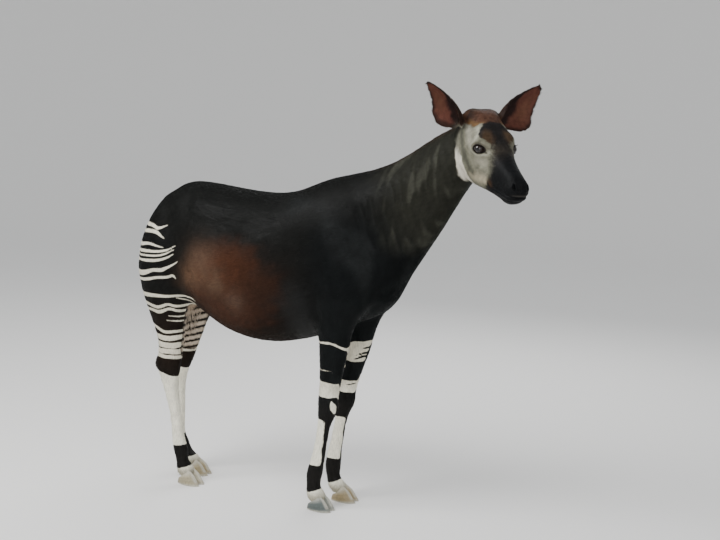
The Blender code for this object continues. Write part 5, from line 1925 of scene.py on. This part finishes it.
class OKAPI_OT_eyes(bpy.types.Operator):
    """Make both eyes, and the lashes of their upper lids"""

    bl_idname = "okapi.eyes"
    bl_label = "Eyes"

    def execute(self, context):
        settings = context.scene.okapi_eyes
        new_piece("eyes", make_eyes(), eye_material(settings), ["eye_left", "eye_right"])
        lashes = make_lashes(settings.lash_length)
        new_piece("lashes", lashes, bpy.data.materials["Coat tufts"])
        return {"FINISHED"}


class OKAPI_OT_stage(bpy.types.Operator):
    """Set the plain floor, the soft lights and the camera"""

    bl_idname = "okapi.stage"
    bl_label = "Stage"

    def execute(self, context):
        settings = context.scene.okapi_stage
        make_floor(settings)
        make_lights(settings)
        make_camera()
        return {"FINISHED"}


class OKAPI_PT_sidebar(bpy.types.Panel):
    """Settings and makers of the okapi's pieces"""

    bl_idname = "OKAPI_PT_sidebar"
    bl_label = "Okapi Figure"
    bl_space_type = "VIEW_3D"
    bl_region_type = "UI"
    bl_category = "Okapi"

    def draw(self, context):
        for maker, settings in MAKERS:
            box = self.layout.box()
            for name in settings.__annotations__:
                box.prop(getattr(context.scene, maker.bl_idname.replace(".", "_")), name)
            box.operator(maker.bl_idname)


# Each maker with the settings that the scene keeps under its name, in the order they run
MAKERS = (
    (OKAPI_OT_skin, OkapiSkinSettings),
    (OKAPI_OT_coat, OkapiCoatSettings),
    (OKAPI_OT_hooves, OkapiHoofSettings),
    (OKAPI_OT_eyes, OkapiEyeSettings),
    (OKAPI_OT_stage, OkapiStageSettings),
)


def make_floor(settings):
    """A flat disc that rises at its far edge in a quarter round, so that no horizon shows."""
    angle = np.linspace(0, 0.5 * np.pi, 16)
    edge = FLOOR_RADIUS + FLOOR_RISE
    reach = np.concatenate([[0.5, 4.0], FLOOR_RADIUS + FLOOR_RISE * np.sin(angle), [edge]])[:, None]
    height = np.concatenate([[0, 0], FLOOR_RISE * (1 - np.cos(angle)), [FLOOR_EDGE]])[:, None]
    turn = np.arange(96) * 2 * np.pi / 96
    rings = np.stack([reach * np.cos(turn), reach * np.sin(turn), height + 0 * turn], -1)
    points, faces = closed_tube(rings, open_end=True)
    mesh = new_mesh("floor", points, faces[:, ::-1])
    material, _, shader = new_material("Plain floor", 0.85)
    shader.inputs["Base Color"].default_value = (*settings.floor_colour, 1)
    mesh.materials.append(material)
    staged("floor", mesh)


def staged(name, data):
    """A new object of the stage with this data."""
    made = bpy.data.objects.new(name, data)
    bpy.context.scene.collection.objects.link(made)
    return made


def make_lights(settings):
    """Pale surroundings and three soft square lights, each turned to its aim."""
    world = bpy.data.worlds.new("Pale surroundings")
    world.use_nodes = True
    background = world.node_tree.nodes["Background"]
    background.inputs["Color"].default_value = (0.93, 0.96, 1.0, 1)
    background.inputs["Strength"].default_value = settings.sky
    bpy.context.scene.world = world
    for name, place, aim, size in LIGHTS:
        data = bpy.data.lights.new(f"{name}_light", "AREA")
        data.shape, data.size, data.energy = "SQUARE", size, getattr(settings, f"{name}_power")
        light = staged(f"{name}_light", data)
        light.rotation_euler = (Vector(aim) - Vector(place)).to_track_quat("-Z", "Y").to_euler()
        light.location = place


def make_camera():
    """The camera fitted to the photo, by its place and its three directions."""
    data = bpy.data.cameras.new("camera")
    data.lens, data.sensor_width = CAMERA_LENS, SENSOR_WIDTH
    data.clip_start, data.clip_end = 0.1, 200.0
    axes = np.eye(4)
    axes[:3, 0], axes[:3, 1], axes[:3, 2] = CAMERA_RIGHT, CAMERA_UP, -np.array(CAMERA_FORWARD)
    axes[:3, 3] = CAMERA_PLACE
    camera = staged("camera", data)
    camera.matrix_world = Matrix(axes.tolist())
    bpy.context.scene.camera = camera


def register():
    for maker, settings in MAKERS:
        bpy.utils.register_class(settings)
        bpy.utils.register_class(maker)
        setattr(bpy.types.Scene, maker.bl_idname.replace(".", "_"), PointerProperty(type=settings))
    bpy.utils.register_class(OKAPI_PT_sidebar)


def unregister():
    bpy.utils.unregister_class(OKAPI_PT_sidebar)
    for maker, settings in reversed(MAKERS):
        delattr(bpy.types.Scene, maker.bl_idname.replace(".", "_"))
        bpy.utils.unregister_class(maker)
        bpy.utils.unregister_class(settings)


def main():
    register()
    bpy.ops.okapi.skin()
    bpy.ops.okapi.coat()
    bpy.ops.okapi.hooves()
    bpy.ops.okapi.eyes()
    bpy.ops.okapi.stage()


if __name__ == "__main__":
    main()
